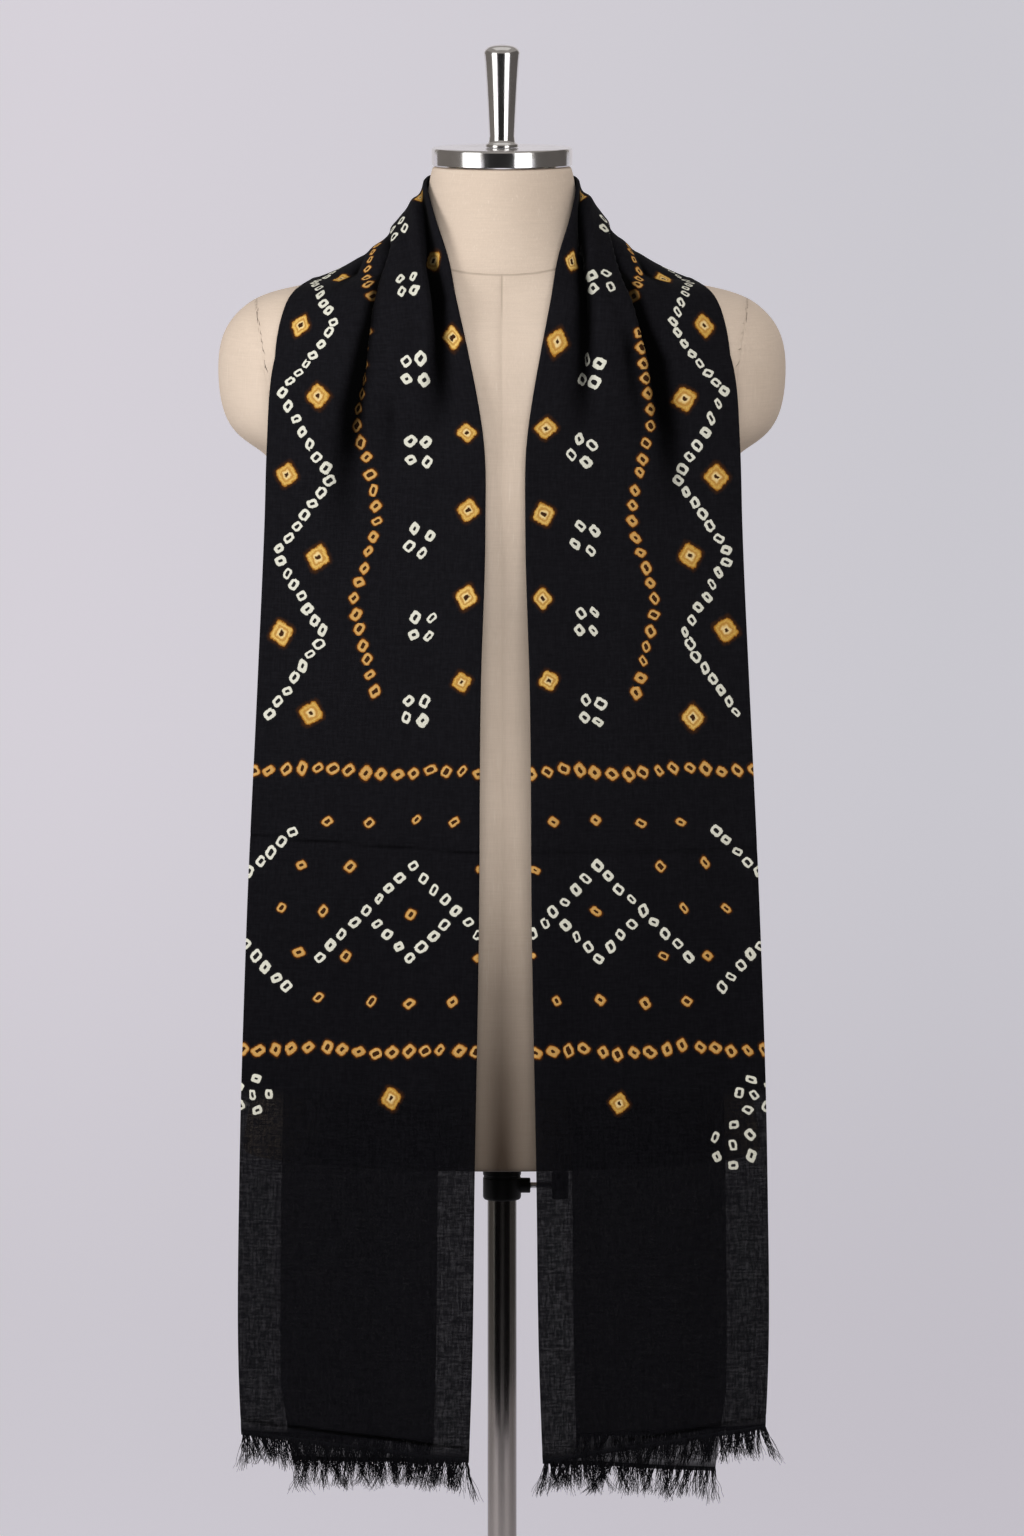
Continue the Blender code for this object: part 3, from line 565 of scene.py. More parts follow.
grip = open_new("finial_grip", bpy.ops.mesh.primitive_circle_add, vertices=96,
                radius=FINIAL_RINGS[0][0] * MM)
bpy.ops.transform.translate(value=(0, 0, FINIAL_FOOT * MM))
bpy.ops.mesh.edge_face_add()
pick("edges", lambda edge: True)
draw_up(FINIAL_RINGS)
bpy.ops.mesh.edge_face_add()
close_shape(grip, 35)
settle(grip, polished_steel, "form", "chrome", "finial")

# ---------------------------------------------------------------------------------------------
# The stole is one length of plain-woven black cotton, tie-dyed, with fringed ends. Both long
# edges are folded in behind the width that shows. It hangs round the back of the neck with its
# two ends level in front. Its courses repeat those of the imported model.

FOLDED_WIDTH = 168 * MM
OUTER_FLAP = 143 * MM
INNER_FLAP = 138 * MM
LAYER_PITCH = 1.15 * MM
CLEARANCE = 1.3 * MM  # of the innermost layer from the linen
COURSES = (  # inner fold x y z, knee x y z, outer fold x y z in mm, share of the right outset
    ((-25.5, -118, 555), (-106, -109, 555), (-184.5, -96, 555), 1.0),  # hem
    ((-22.5, -118, 640), (-105, -110, 640), (-188.0, -95, 640), 1.0),
    ((-20.5, -118, 776), (-104, -110, 776), (-187.0, -93, 776), 1.0),
    ((-17.3, -118, 954), (-100, -109, 954), (-181.5, -89, 954), 1.0),
    ((-15.9, -118, 1124), (-95, -107, 1124), (-173.5, -83, 1124), 1.0),  # waist
    ((-12.7, -118, 1240), (-91, -106, 1240), (-168.2, -78, 1240), 1.0),  # chest
    ((-13.4, -117, 1296), (-90, -105, 1296), (-166.5, -75, 1296), 1.0),
    ((-18.4, -112, 1331), (-91, -107, 1335), (-164.0, -70, 1338), 0.9),
    ((-26.9, -101, 1372), (-93, -101, 1368), (-159.0, -62, 1362), 0.7),
    ((-33.4, -88, 1400), (-93, -92, 1391), (-151.5, -47, 1382), 0.5),
    ((-39.2, -66, 1428), (-88, -56, 1406), (-143.5, -29, 1397), 0.35),
    ((-48.6, -43, 1455), (-83, -33, 1422), (-137.5, -10, 1406), 0.2),
    ((-54.5, -16, 1474), (-81, -4, 1428), (-134.0, 8, 1406), 0.0),  # shoulder ridge
    ((-54.0, 14, 1479), (-80, 22, 1426), (-122.0, 48, 1396), 0.0),
    ((-43.0, 40, 1481), (-66, 56, 1422), (-98.0, 80, 1374), 0.0),
    ((-23.0, 54, 1482), (-34, 74, 1415), (-54.0, 95, 1352), 0.0),
    ((0.0, 58, 1482), (0, 79, 1410), (0.0, 101, 1345), 0.0),  # middle of the back
)
RIGHT_OUTSET = (5 * MM, 3.5 * MM, 2 * MM)
LEFT_RISES = (28 * MM, 31 * MM, 14 * MM, 13 * MM)  # each layer's cut end above the lowest
RIGHT_RISES = (32 * MM, 35 * MM, 14 * MM, 5 * MM)
HEM_SETTLES = 0.16
FLAP_NARROWING = 0.05
ROW_STEP = 3.0 * MM
FRONT_STEPS = 60
FLAP_STEPS = 28
FOLD_STEPS = 4

# Pleats that run down from the neck, where the cloth is laid over itself to fit the shoulder.
# Each has its side, which way it is laid (1 the inner part over the outer one, -1 the other
# way) and points of: distance from the hem, place across from the inner fold, half width,
# height of the step and how far it laps over, all in mm.
PLEATS = (
    (-1, -1, ((1069, 36, 6, 0, 0), (1000, 30, 6, 0.4, 0), (950, 21, 6, 0.8, 1), (913, 21, 6, 2, 3),
              (874, 28, 6, 3.5, 4.5), (843, 25, 6, 3.5, 4), (818, 27, 7, 2.5, 2.5), (757, 44, 10, 1.2, 0),
              (700, 56, 12, 0, 0))),
    (-1, 1, ((1069, 88, 7, 0, 0), (1000, 80, 7, 0.4, 0), (940, 66, 7, 0.8, 2), (898, 63, 7, 2.5, 4),
             (877, 76, 7, 3.5, 5), (830, 82, 7, 4, 6), (801, 87, 7, 3.5, 4.5), (768, 95, 8, 2.5, 2),
             (737, 102, 10, 1.5, 0), (700, 106, 12, 0, 0))),
    (1, -1, ((1069, 36, 6, 0, 0), (1000, 28, 6, 0.4, 0), (950, 17, 6, 0.8, 1), (917, 17, 6, 2.2, 3.5),
             (880, 32, 6, 3.8, 5), (847, 37, 6, 3.5, 4), (800, 42, 8, 2, 1), (740, 50, 10, 0, 0))),
    (1, 1, ((1069, 88, 7, 0, 0), (1000, 76, 7, 0.4, 0), (940, 58, 7, 0.8, 2), (913, 54, 7, 2.2, 4),
            (877, 69, 7, 3.6, 5), (852, 77, 7, 4, 6), (825, 85, 7, 4, 5.5), (801, 94, 7, 3.5, 4),
            (750, 107, 10, 2, 0), (700, 114, 12, 0, 0))),
)
# Softer troughs and ridges beside them: side, and points of distance from the hem, place
# across, half width and lift off the plain form, in mm.
CREASES = (
    (-1, ((1000, 18, 9, 0), (950, 10, 8, -1.2), (913, 12, 7, -4), (874, 18, 8, -5), (843, 15, 9, -5),
          (800, 24, 10, -3.5), (740, 36, 14, 0))),
    (-1, ((1000, 96, 10, 0), (940, 80, 9, -1), (898, 69, 8, -4), (877, 79, 9, -6.5), (830, 85, 10, -7.5),
          (801, 92, 11, -6), (768, 101, 13, -4.5), (730, 107, 15, -2.5), (640, 113, 18, 0))),
    (-1, ((1000, 56, 10, 0), (930, 44, 11, 1), (874, 52, 12, 4), (820, 55, 14, 4), (740, 74, 18, 0))),
    (-1, ((990, 120, 12, 0), (925, 104, 7, -1), (890, 114, 7, -3.5), (850, 128, 9, 0))),
    (-1, ((800, 66, 6, 0), (760, 71, 7, -1.8), (700, 78, 10, 0))),
    (1, ((1000, 16, 9, 0), (950, 8, 8, -1.2), (917, 11, 7, -4), (880, 27, 8, -6.5), (847, 33, 9, -6.5),
         (800, 38, 11, -3.5), (730, 47, 15, 0))),
    (1, ((1000, 92, 10, 0), (940, 72, 9, -1), (913, 60, 8, -4), (877, 76, 9, -6.5), (852, 84, 10, -7),
         (825, 92, 10, -6.5), (801, 101, 12, -5.5), (750, 111, 14, -3), (670, 120, 18, 0))),
    (1, ((1000, 50, 10, 0), (930, 36, 10, 1), (874, 50, 11, 4), (820, 60, 13, 4), (750, 76, 17, 0))),
    (1, ((845, 66, 5, 0), (809, 75, 6, -2.6), (765, 86, 8, -1.8), (700, 94, 12, 0))),
    (1, ((990, 118, 12, 0), (925, 96, 7, -1), (888, 110, 7, -3.5), (850, 126, 9, 0))),
)
# Pressed lines from its storage fold: distance from the hem at the inner and outer fold, in mm.
PRESSED = ((-1, 453, 462, 0.6), (1, 452, 452, 0.6), (-1, 24, 42, 1.0), (-1, 8, 30, 0.9), (1, 20, 44, 0.8))


def through(knots, values, at):
    """A smooth curve through the rows of values, which lie at the knots, read at each distance."""
    slopes = np.gradient(values, knots, axis=0)
    low = np.clip(np.searchsorted(knots, at, side="right") - 1, 0, len(knots) - 2)
    span = (knots[low + 1] - knots[low])[:, None]
    part = (at - knots[low])[:, None] / span
    rising = part * part * (3 - 2 * part)
    leaving = part * (1 - part) ** 2 * span
    arriving = part * part * (part - 1) * span
    start, end = values[low], values[low + 1]
    return start + (end - start) * rising + slopes[low] * leaving + slopes[low + 1] * arriving


def course_lines():
    """All courses from hem to hem: distances along the band, and inner, knee and outer points."""
    left = np.array([course[:3] for course in COURSES]) * MM
    right = left[-2::-1] * (-1, 1, 1)
    share = np.array([course[3] for course in COURSES])[-2::-1]
    right[:, :, 0] += share[:, None] * np.array(RIGHT_OUTSET)
    lines = np.concatenate([left, right])
    steps = np.linalg.norm(np.diff(lines.mean(axis=1), axis=0), axis=1)
    return np.concatenate([[0.0], np.cumsum(steps)]), lines


ALONG, LINES = course_lines()
BAND_LENGTH = ALONG[-1]


def along_crease(points, from_hem, on_side):
    """A crease's values at each distance from the hem. Past its ends and on the other side the
    last ones, its height and lap, are nothing."""
    table = np.array(points, float)[::-1] * MM
    place, half, *sizes = (np.interp(from_hem, table[:, 0], column) for column in table.T[1:])
    there = on_side & (from_hem > table[0, 0])
    return place, half, *(np.where(there, size, 0.0) for size in sizes)


def creased(along, share):
    """How far the band is lifted off its plain form, how far it is drawn towards its outer fold,
    and how deep it lies in a trough, from its pleats, creases, slow waves and pressed lines."""
    side = np.where(along < BAND_LENGTH / 2, -1, 1)
    from_hem = np.minimum(along, BAND_LENGTH - along)
    across = share * FOLDED_WIDTH
    lift = np.zeros_like(along)
    lap = np.zeros_like(along)
    sunk = np.zeros_like(along)
    for crease_side, points in CREASES:
        place, half, depth = along_crease(points, from_hem, side == crease_side)
        trough = depth * np.exp(-(((across - place) / half) ** 2))
        lift += trough
        sunk = np.maximum(sunk, -trough)
    for pleat_side, laid, points in PLEATS:
        place, half, height, over = along_crease(points, from_hem, side == pleat_side)
        reach = (across - place) / half
        step = -laid * reach * np.exp(0.5 - reach ** 2 / 2)
        lift += height * step
        lap += over * -reach * np.exp(0.5 - reach ** 2 / 2)
    for line_side, inner, outer, depth in PRESSED:
        line = (inner + (outer - inner) * share) * MM
        sharp = np.exp(-(((from_hem - line) / (1.7 * MM)) ** 2)) * (side == line_side)
        lift -= depth * MM * sharp
        sunk = np.maximum(sunk, 4 * depth * MM * sharp)
    hang = np.clip((0.80 - from_hem) / 0.35, 0.0, 1.0)
    ripple = np.sin(across * 118 - from_hem * 5.3 + 2 * side)
    swing = np.sin(across * 62 + from_hem * 3.1 + side) + 0.6 * ripple
    hem = np.exp(-from_hem / 0.12) * np.sin(across * 88 + side * 0.8)
    lift += hang * (0.75 * MM * swing) + 1.6 * MM * hem
    slack = np.sin(from_hem * 21 + across * 30) * np.sin(across * 40 - from_hem * 9 + side)
    return lift + 0.35 * MM * slack, lap / FOLDED_WIDTH, sunk


def plain(along, share):
    lines = through(ALONG, LINES.reshape(len(LINES), -1), along.ravel()).reshape(*along.shape, 3, 3)
    share = share[..., None]
    return ((1 - share) ** 2 * lines[..., 0, :] + 2 * share * (1 - share) * lines[..., 1, :]
            + share ** 2 * lines[..., 2, :])


def facing(shape, along, share):
    """Unit normals of a surface, away from the form."""
    step, over = 3 * MM, 0.012
    run = shape(along + step, share) - shape(along - step, share)
    side = shape(along, share + over) - shape(along, share - over)
    normal = np.cross(run, side)
    return normal / np.linalg.norm(normal, axis=-1, keepdims=True)


def draped(along, share):
    lift, lap, _ = creased(along, share)
    return plain(along, share + lap) + facing(plain, along, share + lap) * lift[..., None]


def section_path():
    """The folded section from the outer flap's edge to the inner flap's edge.

    Columns: share across the folded width, height off the middle layer, reach past a fold,
    layer (0 outer flap's edge, 1 outer fold, 2 inner fold, 3 inner flap's edge) and the place
    across the cut cloth.
    """
    outer_start = 1 - OUTER_FLAP / FOLDED_WIDTH
    rows = [(outer_start + (1 - outer_start) * k / FLAP_STEPS, 0.0, 0.0, k / FLAP_STEPS)
            for k in range(FLAP_STEPS)]
    turns = [math.pi * k / FOLD_STEPS for k in range(FOLD_STEPS + 1)]
    rows += [(1.0, LAYER_PITCH / 2 * (1 - math.cos(turn)), LAYER_PITCH / 2 * math.sin(turn), 1.0)
             for turn in turns]
    rows += [(1 - k / FRONT_STEPS, LAYER_PITCH, 0.0, 1 + k / FRONT_STEPS)
             for k in range(1, FRONT_STEPS)]
    rows += [(0.0, LAYER_PITCH * math.cos(turn), -LAYER_PITCH * math.sin(turn), 2.0)
             for turn in turns]
    inner_end = INNER_FLAP / FOLDED_WIDTH
    rows += [(inner_end * k / FLAP_STEPS, -LAYER_PITCH, 0.0, 2 + k / FLAP_STEPS)
             for k in range(1, FLAP_STEPS + 1)]
    table = np.array(rows)
    cut = np.interp(table[:, 3], (0, 1, 2, 3),
                    np.cumsum([0, OUTER_FLAP, FOLDED_WIDTH, INNER_FLAP]))
    return np.column_stack([table, cut])


linen_surface = BVHTree.FromPolygons([v.co for v in body.data.vertices],
                                     [p.vertices[:] for p in body.data.polygons])
path = section_path()
rows = round(BAND_LENGTH / ROW_STEP) + 1
along = np.repeat(np.linspace(0, BAND_LENGTH, rows)[:, None], len(path), axis=1)
from_hem = np.minimum(along, BAND_LENGTH - along)
left = along < BAND_LENGTH / 2
settling = np.clip(1 - from_hem / HEM_SETTLES, 0.0, 1.0)
left_rise, right_rise = (np.interp(path[:, 3], (0, 1, 2, 3), rises) for rises in (LEFT_RISES, RIGHT_RISES))
shifted = along + settling * np.where(left, left_rise, -right_rise)
share = np.repeat(path[None, :, 0], rows, axis=0)
drawn_in = FLAP_NARROWING * np.clip(1 - from_hem / 0.06, 0.0, 1.0)
share = np.where(path[None, :, 3] > 2, share * (1 - drawn_in), share)
normals = facing(draped, shifted, share)
points = draped(shifted, share)
edge_in = np.where(share > 0.5, 0.01, -0.01)
sideways = points - draped(shifted, share - edge_in)
sideways /= np.linalg.norm(sideways, axis=-1, keepdims=True)
points += normals * path[None, :, 1, None] + sideways * np.abs(path[None, :, 2, None])
for point, height in zip(points.reshape(-1, 3), np.tile(path[:, 1], rows)):
    near, face_normal, _, _ = linen_surface.find_nearest(Vector(point))
    away = Vector(point) - near
    distance = math.copysign(away.length, away.dot(face_normal))
    needed = CLEARANCE + LAYER_PITCH + height
    if abs(away.z) < away.length * 0.999 and distance < needed:
        point[:] = near + away * (needed / distance)

sunk = creased(shifted, share)[2]

columns = len(path)
corner = np.arange(rows * columns).reshape(rows, columns)
quads = np.stack([corner[:-1, :-1], corner[:-1, 1:], corner[1:, 1:], corner[1:, :-1]], axis=-1)
sheet = bpy.data.meshes.new("stole_cloth")
sheet.from_pydata(points.reshape(-1, 3).tolist(), [], quads.reshape(-1, 4).tolist())
sheet.shade_smooth()
stole = bpy.data.objects.new("stole_cloth", sheet)
bpy.context.scene.collection.objects.link(stole)

cut_places = np.stack([np.repeat(path[None, :, 4], rows, axis=0), shifted], axis=-1)
face_corners = np.stack([cut_places[:-1, :-1], cut_places[:-1, 1:],
                         cut_places[1:, 1:], cut_places[1:, :-1]], axis=2)
sheet.uv_layers.new(name="cut").uv.foreach_set("vector", face_corners.astype(np.float32).ravel())

# The tied dots. Each was a pinch of cloth bound with thread before the black dye, so it kept
# its first colour round a dark middle. Both halves have the same chart of even steps and 45
# degree diagonals, and the right one has a rosette more. Places are in mm, across from the inner
# fold and from the hem. Chains are tied at an even pitch, and chance makes the dots uneven.

WHITE, ORANGE, YELLOW = 1, 2, 3
BORDER_MIDDLE = 410
BORDER_HALF = 100  # from its middle to the orange row that closes it above and below
FIELD = 550  # height where the zigzags and columns of the field above it start
BACK = 1068  # the middle of the back, where the two halves meet
PEAK = 48  # across, of the border's large peak
ARM = 33  # height of each arm of the lozenge that hangs in the peak
ZIGZAG_STEP, WAVE_STEP, COLUMN_STEP, GRID_STEP = 56, 64, 60, 32
FREE_ROOM = 12  # a single dot nearer than this to a chain is left out
SINGLE_SIZE = 3.7  # half widths, here and below
SQUARE_SIZE, INNER_SQUARE_SIZE = 7.6, 6.9
FOUR_ACROSS, FOUR_UP = 8.4, 9.0  # from the middle of a group of four to its dots

CHAINS = [  # kind, pitch, size, points
    (WHITE, 10.2, 3.7, [(118 if k % 2 else 158, FIELD + ZIGZAG_STEP * k) for k in range(10)] + [(138, BACK)]),
    (ORANGE, 11.6, 4.0, [(98 if k % 2 else 80, FIELD + 16 + WAVE_STEP * k) for k in range(8)] + [(90, BACK)]),
    (WHITE, 11.0, 3.7, [(PEAK + t, BORDER_MIDDLE + ARM - t) for t in (0, 2 * ARM)]),
    (WHITE, 11.0, 3.7, [(PEAK - t, BORDER_MIDDLE + ARM - t) for t in (9, PEAK)]),
    (WHITE, 11.0, 3.7, [(PEAK + t, BORDER_MIDDLE - ARM + abs(t)) for t in (24, 0, -24)]),
    (WHITE, 11.0, 3.7, [(168 + t, BORDER_MIDDLE + 26 + abs(t)) for t in (-30, 0, 30)]),
    (WHITE, 11.0, 3.7, [(168 + t, BORDER_MIDDLE - 26 - abs(t)) for t in (-30, 0, 30)]),
]
CHAINS += [(ORANGE, 12.0, 4.3,
            [(across, height + 2 * math.sin(across * 0.07)) for across in range(-132, 313, 12)])
           for height in (BORDER_MIDDLE + BORDER_HALF, BORDER_MIDDLE - BORDER_HALF)]
SQUARES = [(12, FIELD + 24 + COLUMN_STEP * k) for k in range(9)]  # the large yellow ones
SQUARES += [(150 if k % 2 else 126, FIELD + ZIGZAG_STEP * k) for k in range(10)]
SQUARES += [(60, BORDER_MIDDLE - BORDER_HALF - 36)]
FOURS = [(46, FIELD + 6 + COLUMN_STEP * k) for k in range(9)]  # middles of the groups of four
ROSETTES = ((-1, 160, 276, 5, 11.5), (1, 160, 276, 5, 11.5), (1, 144, 240, 6, 14.5))
Knot = namedtuple("Knot", "side kind across from_hem size turn")
LEAN = 0.8  # most dots stand on a corner, as the cloth was pinched on the bias
dice = random.Random(5)


def lone(side, kind, across, height, size, turn=None, stray=0.6):
    """One dot with the small unevenness of a thing tied by hand."""
    turn = dice.uniform(-0.5, 0.5) if turn is None else turn + dice.uniform(-0.3, 0.3)
    return Knot(side, kind, across + dice.gauss(0, stray), height + dice.gauss(0, stray),
                size * dice.uniform(0.90, 1.12), turn)


knots = []
for side in (-1, 1):
    for kind, pitch, size, stops in CHAINS:
        stops = np.array(stops, float)
        lengths = np.concatenate([[0], np.cumsum(np.linalg.norm(np.diff(stops, axis=0), axis=1))])
        count = max(1, round(lengths[-1] / pitch))
        for at in np.linspace(0, lengths[-1], count + 1):
            across, height = (np.interp(at, lengths, stops[:, k]) for k in (0, 1))
            knots.append(lone(side, kind, across, height, size, LEAN))
    tied = [(knot.across, knot.from_hem) for knot in knots if knot.side == side]
    for row in range(-2, 3):  # single orange dots on a staggered grid, left out where a chain runs
        height = BORDER_MIDDLE + GRID_STEP * row
        for across in range(PEAK - GRID_STEP - 16 * (row % 2), 168, GRID_STEP):
            if min(math.dist((across, height), place) for place in tied) > FREE_ROOM:
                knots.append(lone(side, ORANGE, across, height, SINGLE_SIZE, math.pi / 4, 1.6))
    knots += [lone(side, YELLOW, across, height,
                   SQUARE_SIZE if across > 60 else INNER_SQUARE_SIZE, math.pi / 4, 1.6)
              for across, height in SQUARES]
    for across, height in FOURS:
        across, height = across + dice.gauss(0, 1.6), height + dice.gauss(0, 1.6)
        tilt = dice.uniform(-0.45, 0.45)
        for corner_turn in (0.25, 0.75, 1.25, 1.75):
            turn = corner_turn * math.pi + tilt
            knots.append(lone(side, WHITE, across + FOUR_ACROSS * math.cos(turn),
                              height + FOUR_UP * math.sin(turn), 3.9, LEAN))
for side, across, height, count, reach in ROSETTES:
    for turn in [math.tau * k / count + 0.5 for k in range(count)]:
        knots.append(lone(side, WHITE, across + reach * math.cos(turn),
                          height + reach * math.sin(turn), 3.5, turn))
    knots.append(lone(side, WHITE, across, height, 3.5))
# The design repeats, turned over at each fold, on the two flaps behind.
WIDE = FOLDED_WIDTH / MM
for knot in list(knots):
    if 12 < knot.across < 132 and knot.from_hem > 515:
        knots.append(knot._replace(across=-knot.across, turn=math.pi - knot.turn))
    if 36 < knot.across < 156 and knot.from_hem > 515:
        knots.append(knot._replace(across=2 * WIDE - knot.across, turn=math.pi - knot.turn))

spot = np.zeros((rows - 1, columns - 1, 4, 3), np.float32)
look = np.zeros((rows - 1, columns - 1, 4, 3), np.float32)
nearest = np.full((rows - 1, columns - 1), 1e9)
middles = face_corners.mean(axis=2)
for knot in knots:
    centre = np.array([OUTER_FLAP + FOLDED_WIDTH - knot.across * MM,
                       knot.from_hem * MM if knot.side < 0 else BAND_LENGTH - knot.from_hem * MM])
    size = knot.size * MM
    first = np.searchsorted(along[:, 0], centre[1] - 0.055)
    last = np.searchsorted(along[:, 0], centre[1] + 0.055)
    window = (slice(first, min(last, rows - 1)), slice(None))
    gap = np.abs(middles[window] - centre).max(axis=-1) - size
    closer = (gap < nearest[window]) & (gap < 5 * MM)
    nearest[window] = np.where(closer, gap, nearest[window])
    offset = (face_corners[window] - centre) / size
    turn = knot.turn if knot.side < 0 else -knot.turn
    cosine, sine = math.cos(turn), math.sin(turn)
    local = np.stack([-offset[..., 0] * cosine + offset[..., 1] * sine,
                      offset[..., 0] * sine + offset[..., 1] * cosine,
                      np.full(offset.shape[:-1], knot.kind)], axis=-1)
    spot[window][closer] = local[closer]
    look[window][closer] = (dice.random(), dice.random(), dice.random())
for name, values in (("spot", spot), ("look", look)):
    sheet.attributes.new(name, "FLOAT_VECTOR", "CORNER").data.foreach_set("vector", values.ravel())
depths = np.stack([sunk * 1000, from_hem * 1000, sunk * 0], axis=-1).astype(np.float32)
sheet.attributes.new("depths", "FLOAT_VECTOR", "POINT").data.foreach_set("vector", depths.ravel())

black_cotton, shader, place = new_finish("black_cotton", Roughness=0.9, Sheen_Weight=0.012,
                                         Sheen_Roughness=0.4, Specular_IOR_Level=0.02)
cut = place.node("ShaderNodeUVMap", {"uv_map": "cut"}, {})
spot_place = place.node("ShaderNodeAttribute", {"attribute_name": "spot"}, {}, 1)
look_value = place.node("ShaderNodeAttribute", {"attribute_name": "look"}, {}, 1)
depth_value = place.node("ShaderNodeAttribute", {"attribute_name": "depths"}, {}, 1)
warp = cut.scaled(1000.0, 150.0, 1.0).noise(1.0, 2.0)
weft = cut.scaled(170.0, 950.0, 1.0).noise(1.0, 2.0)
thick_warp = cut.scaled(520.0, 40.0, 1.0).noise(1.0, 1.0)
thick_weft = cut.scaled(50.0, 480.0, 1.0).noise(1.0, 1.0)
density = (warp + weft) * 0.32 + (thick_warp + thick_weft) * 0.18
fibre_waves = cut.node("ShaderNodeTexNoise", {}, {"Vector": cut, "Scale": 330.0}, 1)
wobble = cut.node("ShaderNodeVectorMath", {"operation": "SUBTRACT"}, {0: fibre_waves, 1: (0.5, 0.5, 0.5)})
bent = cut.node("ShaderNodeVectorMath", {"operation": "MULTIPLY_ADD"},
                {0: wobble, 1: (0.40, 0.40, 0), 2: spot_place})
kind = spot_place.axis(2)
is_dot = kind.rise(0.4, 0.6)
is_colour = kind.rise(1.4, 1.6)
is_square = kind.rise(2.4, 2.6)
squeezed = 1.0 + (0.03 + 0.50 * look_value.axis(2) ** 4.0) * (1.0 - 0.85 * is_square)
slanted = bent.axis(0) + bent.axis(1) * (look_value.axis(0) - 0.5) * (0.42 - 0.20 * is_square)
across, up = abs(slanted) * squeezed, abs(bent.axis(1)) * (0.89 + 0.09 * is_square)
corners = 3.6 + 1.6 * is_square
roundness = (across ** corners + up ** corners) ** (1.0 / corners)
inside = (1.0 - roundness.rise(0.90, 1.0)) * is_dot
halo = (1.0 - roundness.rise(0.9, 1.35)) * is_dot
narrow = ((across * 1.25) ** corners + (up * 0.92) ** corners) ** (1.0 / corners)
hole_size = (0.30 + 0.24 * look_value.axis(1)) * (1.0 - 0.45 * is_square)
hole = 1.0 - (narrow - hole_size).rise(-0.05, 0.07)
ring = inside * (1.0 - hole)
seep = cut.noise(1100.0, 3.0, 0.6)
shade = seep * 0.75 + look_value.axis(1) * 0.25
bare = shade.tint((0.58, 0.58, 0.48), (0.84, 0.83, 0.74))
orange = shade.tint((0.45, 0.23, 0.055), (0.74, 0.46, 0.165))
orange = roundness.rise(0.70, 0.96).tint(orange, (0.32, 0.11, 0.012))
pale = shade.rise(0.25, 0.75).tint((0.50, 0.28, 0.052), (0.80, 0.54, 0.165))
pale = ((1.0 - roundness.rise(0.24, 0.50)) * 0.6).tint(pale, (0.90, 0.74, 0.42))
inner_line = 1.0 - abs(roundness - 0.52).rise(0.03, 0.14)
gold = (inner_line * 0.75).tint(pale, (0.42, 0.20, 0.045))
gold = roundness.rise(0.74, 0.96).tint(gold, (0.30, 0.115, 0.012))
dyed = is_square.tint(is_colour.tint(bare, orange), gold)
# The black is painted darker towards the hem: painted shade, as less light reaches the cloth low down.
upper_black = density.rise(0.38, 0.66).tint((0.0064, 0.0062, 0.0078), (0.0104, 0.0102, 0.0126))
painted_shade_black = density.rise(0.38, 0.66).tint((0.0034, 0.0033, 0.0044), (0.0062, 0.0061, 0.0078))
black = depth_value.axis(1).rise(150.0, 650.0).tint(painted_shade_black, upper_black)
stain = is_colour.tint((0.016, 0.016, 0.017), (0.060, 0.022, 0.006))
black = (halo * 0.7).tint(black, stain)
cloth = ring.tint(black, dyed)
# In the pleats' troughs and along the pressed lines the colour is painted nearly black: painted shade.
in_trough = depth_value.axis(0).rise(0.4, 3.6)
(in_trough * 0.95).tint(cloth, (0.0002, 0.0002, 0.0002)).into(shader, "Base Color")
at_hem = 1.0 - depth_value.axis(1).rise(2.0, 26.0)
in_flap = cut.axis(0).rise(OUTER_FLAP + FOLDED_WIDTH, OUTER_FLAP + FOLDED_WIDTH + 2 * MM)
cover = 0.80 - 0.05 * in_flap + (0.17 + 0.03 * in_flap) * density.rise(0.41, 0.59)
laid_close = depth_value.axis(1).rise(235.0, 285.0)
cover.larger(laid_close * 0.99).larger(at_hem * 0.96).larger(in_trough * 0.97).into(shader, "Alpha")
pucker = (1.0 - roundness.rise(0.0, 1.6)) * is_dot
crinkle = cut.noise(620.0, 2.0) * halo
(density * 0.45 + pucker * 1.2 + crinkle * 1.0).bump(0.5, 0.45 * MM).into(shader, "Normal")
settle(stole, black_cotton, "form", "black_cotton", "stole_left_fall", "stole_neck", "stole_right_fall")

# ---------------------------------------------------------------------------------------------
# The fringes are the cloth's own warp ends, left free for about 17 mm past the last weft at
# each end. They clump in small uneven locks and are longer at the corners of the layers.

THREAD_STEP = 0.27 * MM
THREAD_RADIUS = 0.21 * MM
FRINGE_LENGTH = 18.0 * MM
LOCK = 3.4 * MM  # about the width of cloth whose ends clump together
SEGMENTS = 7
TANGLE = 0.75 * MM  # how far a thread wanders at each of its steps

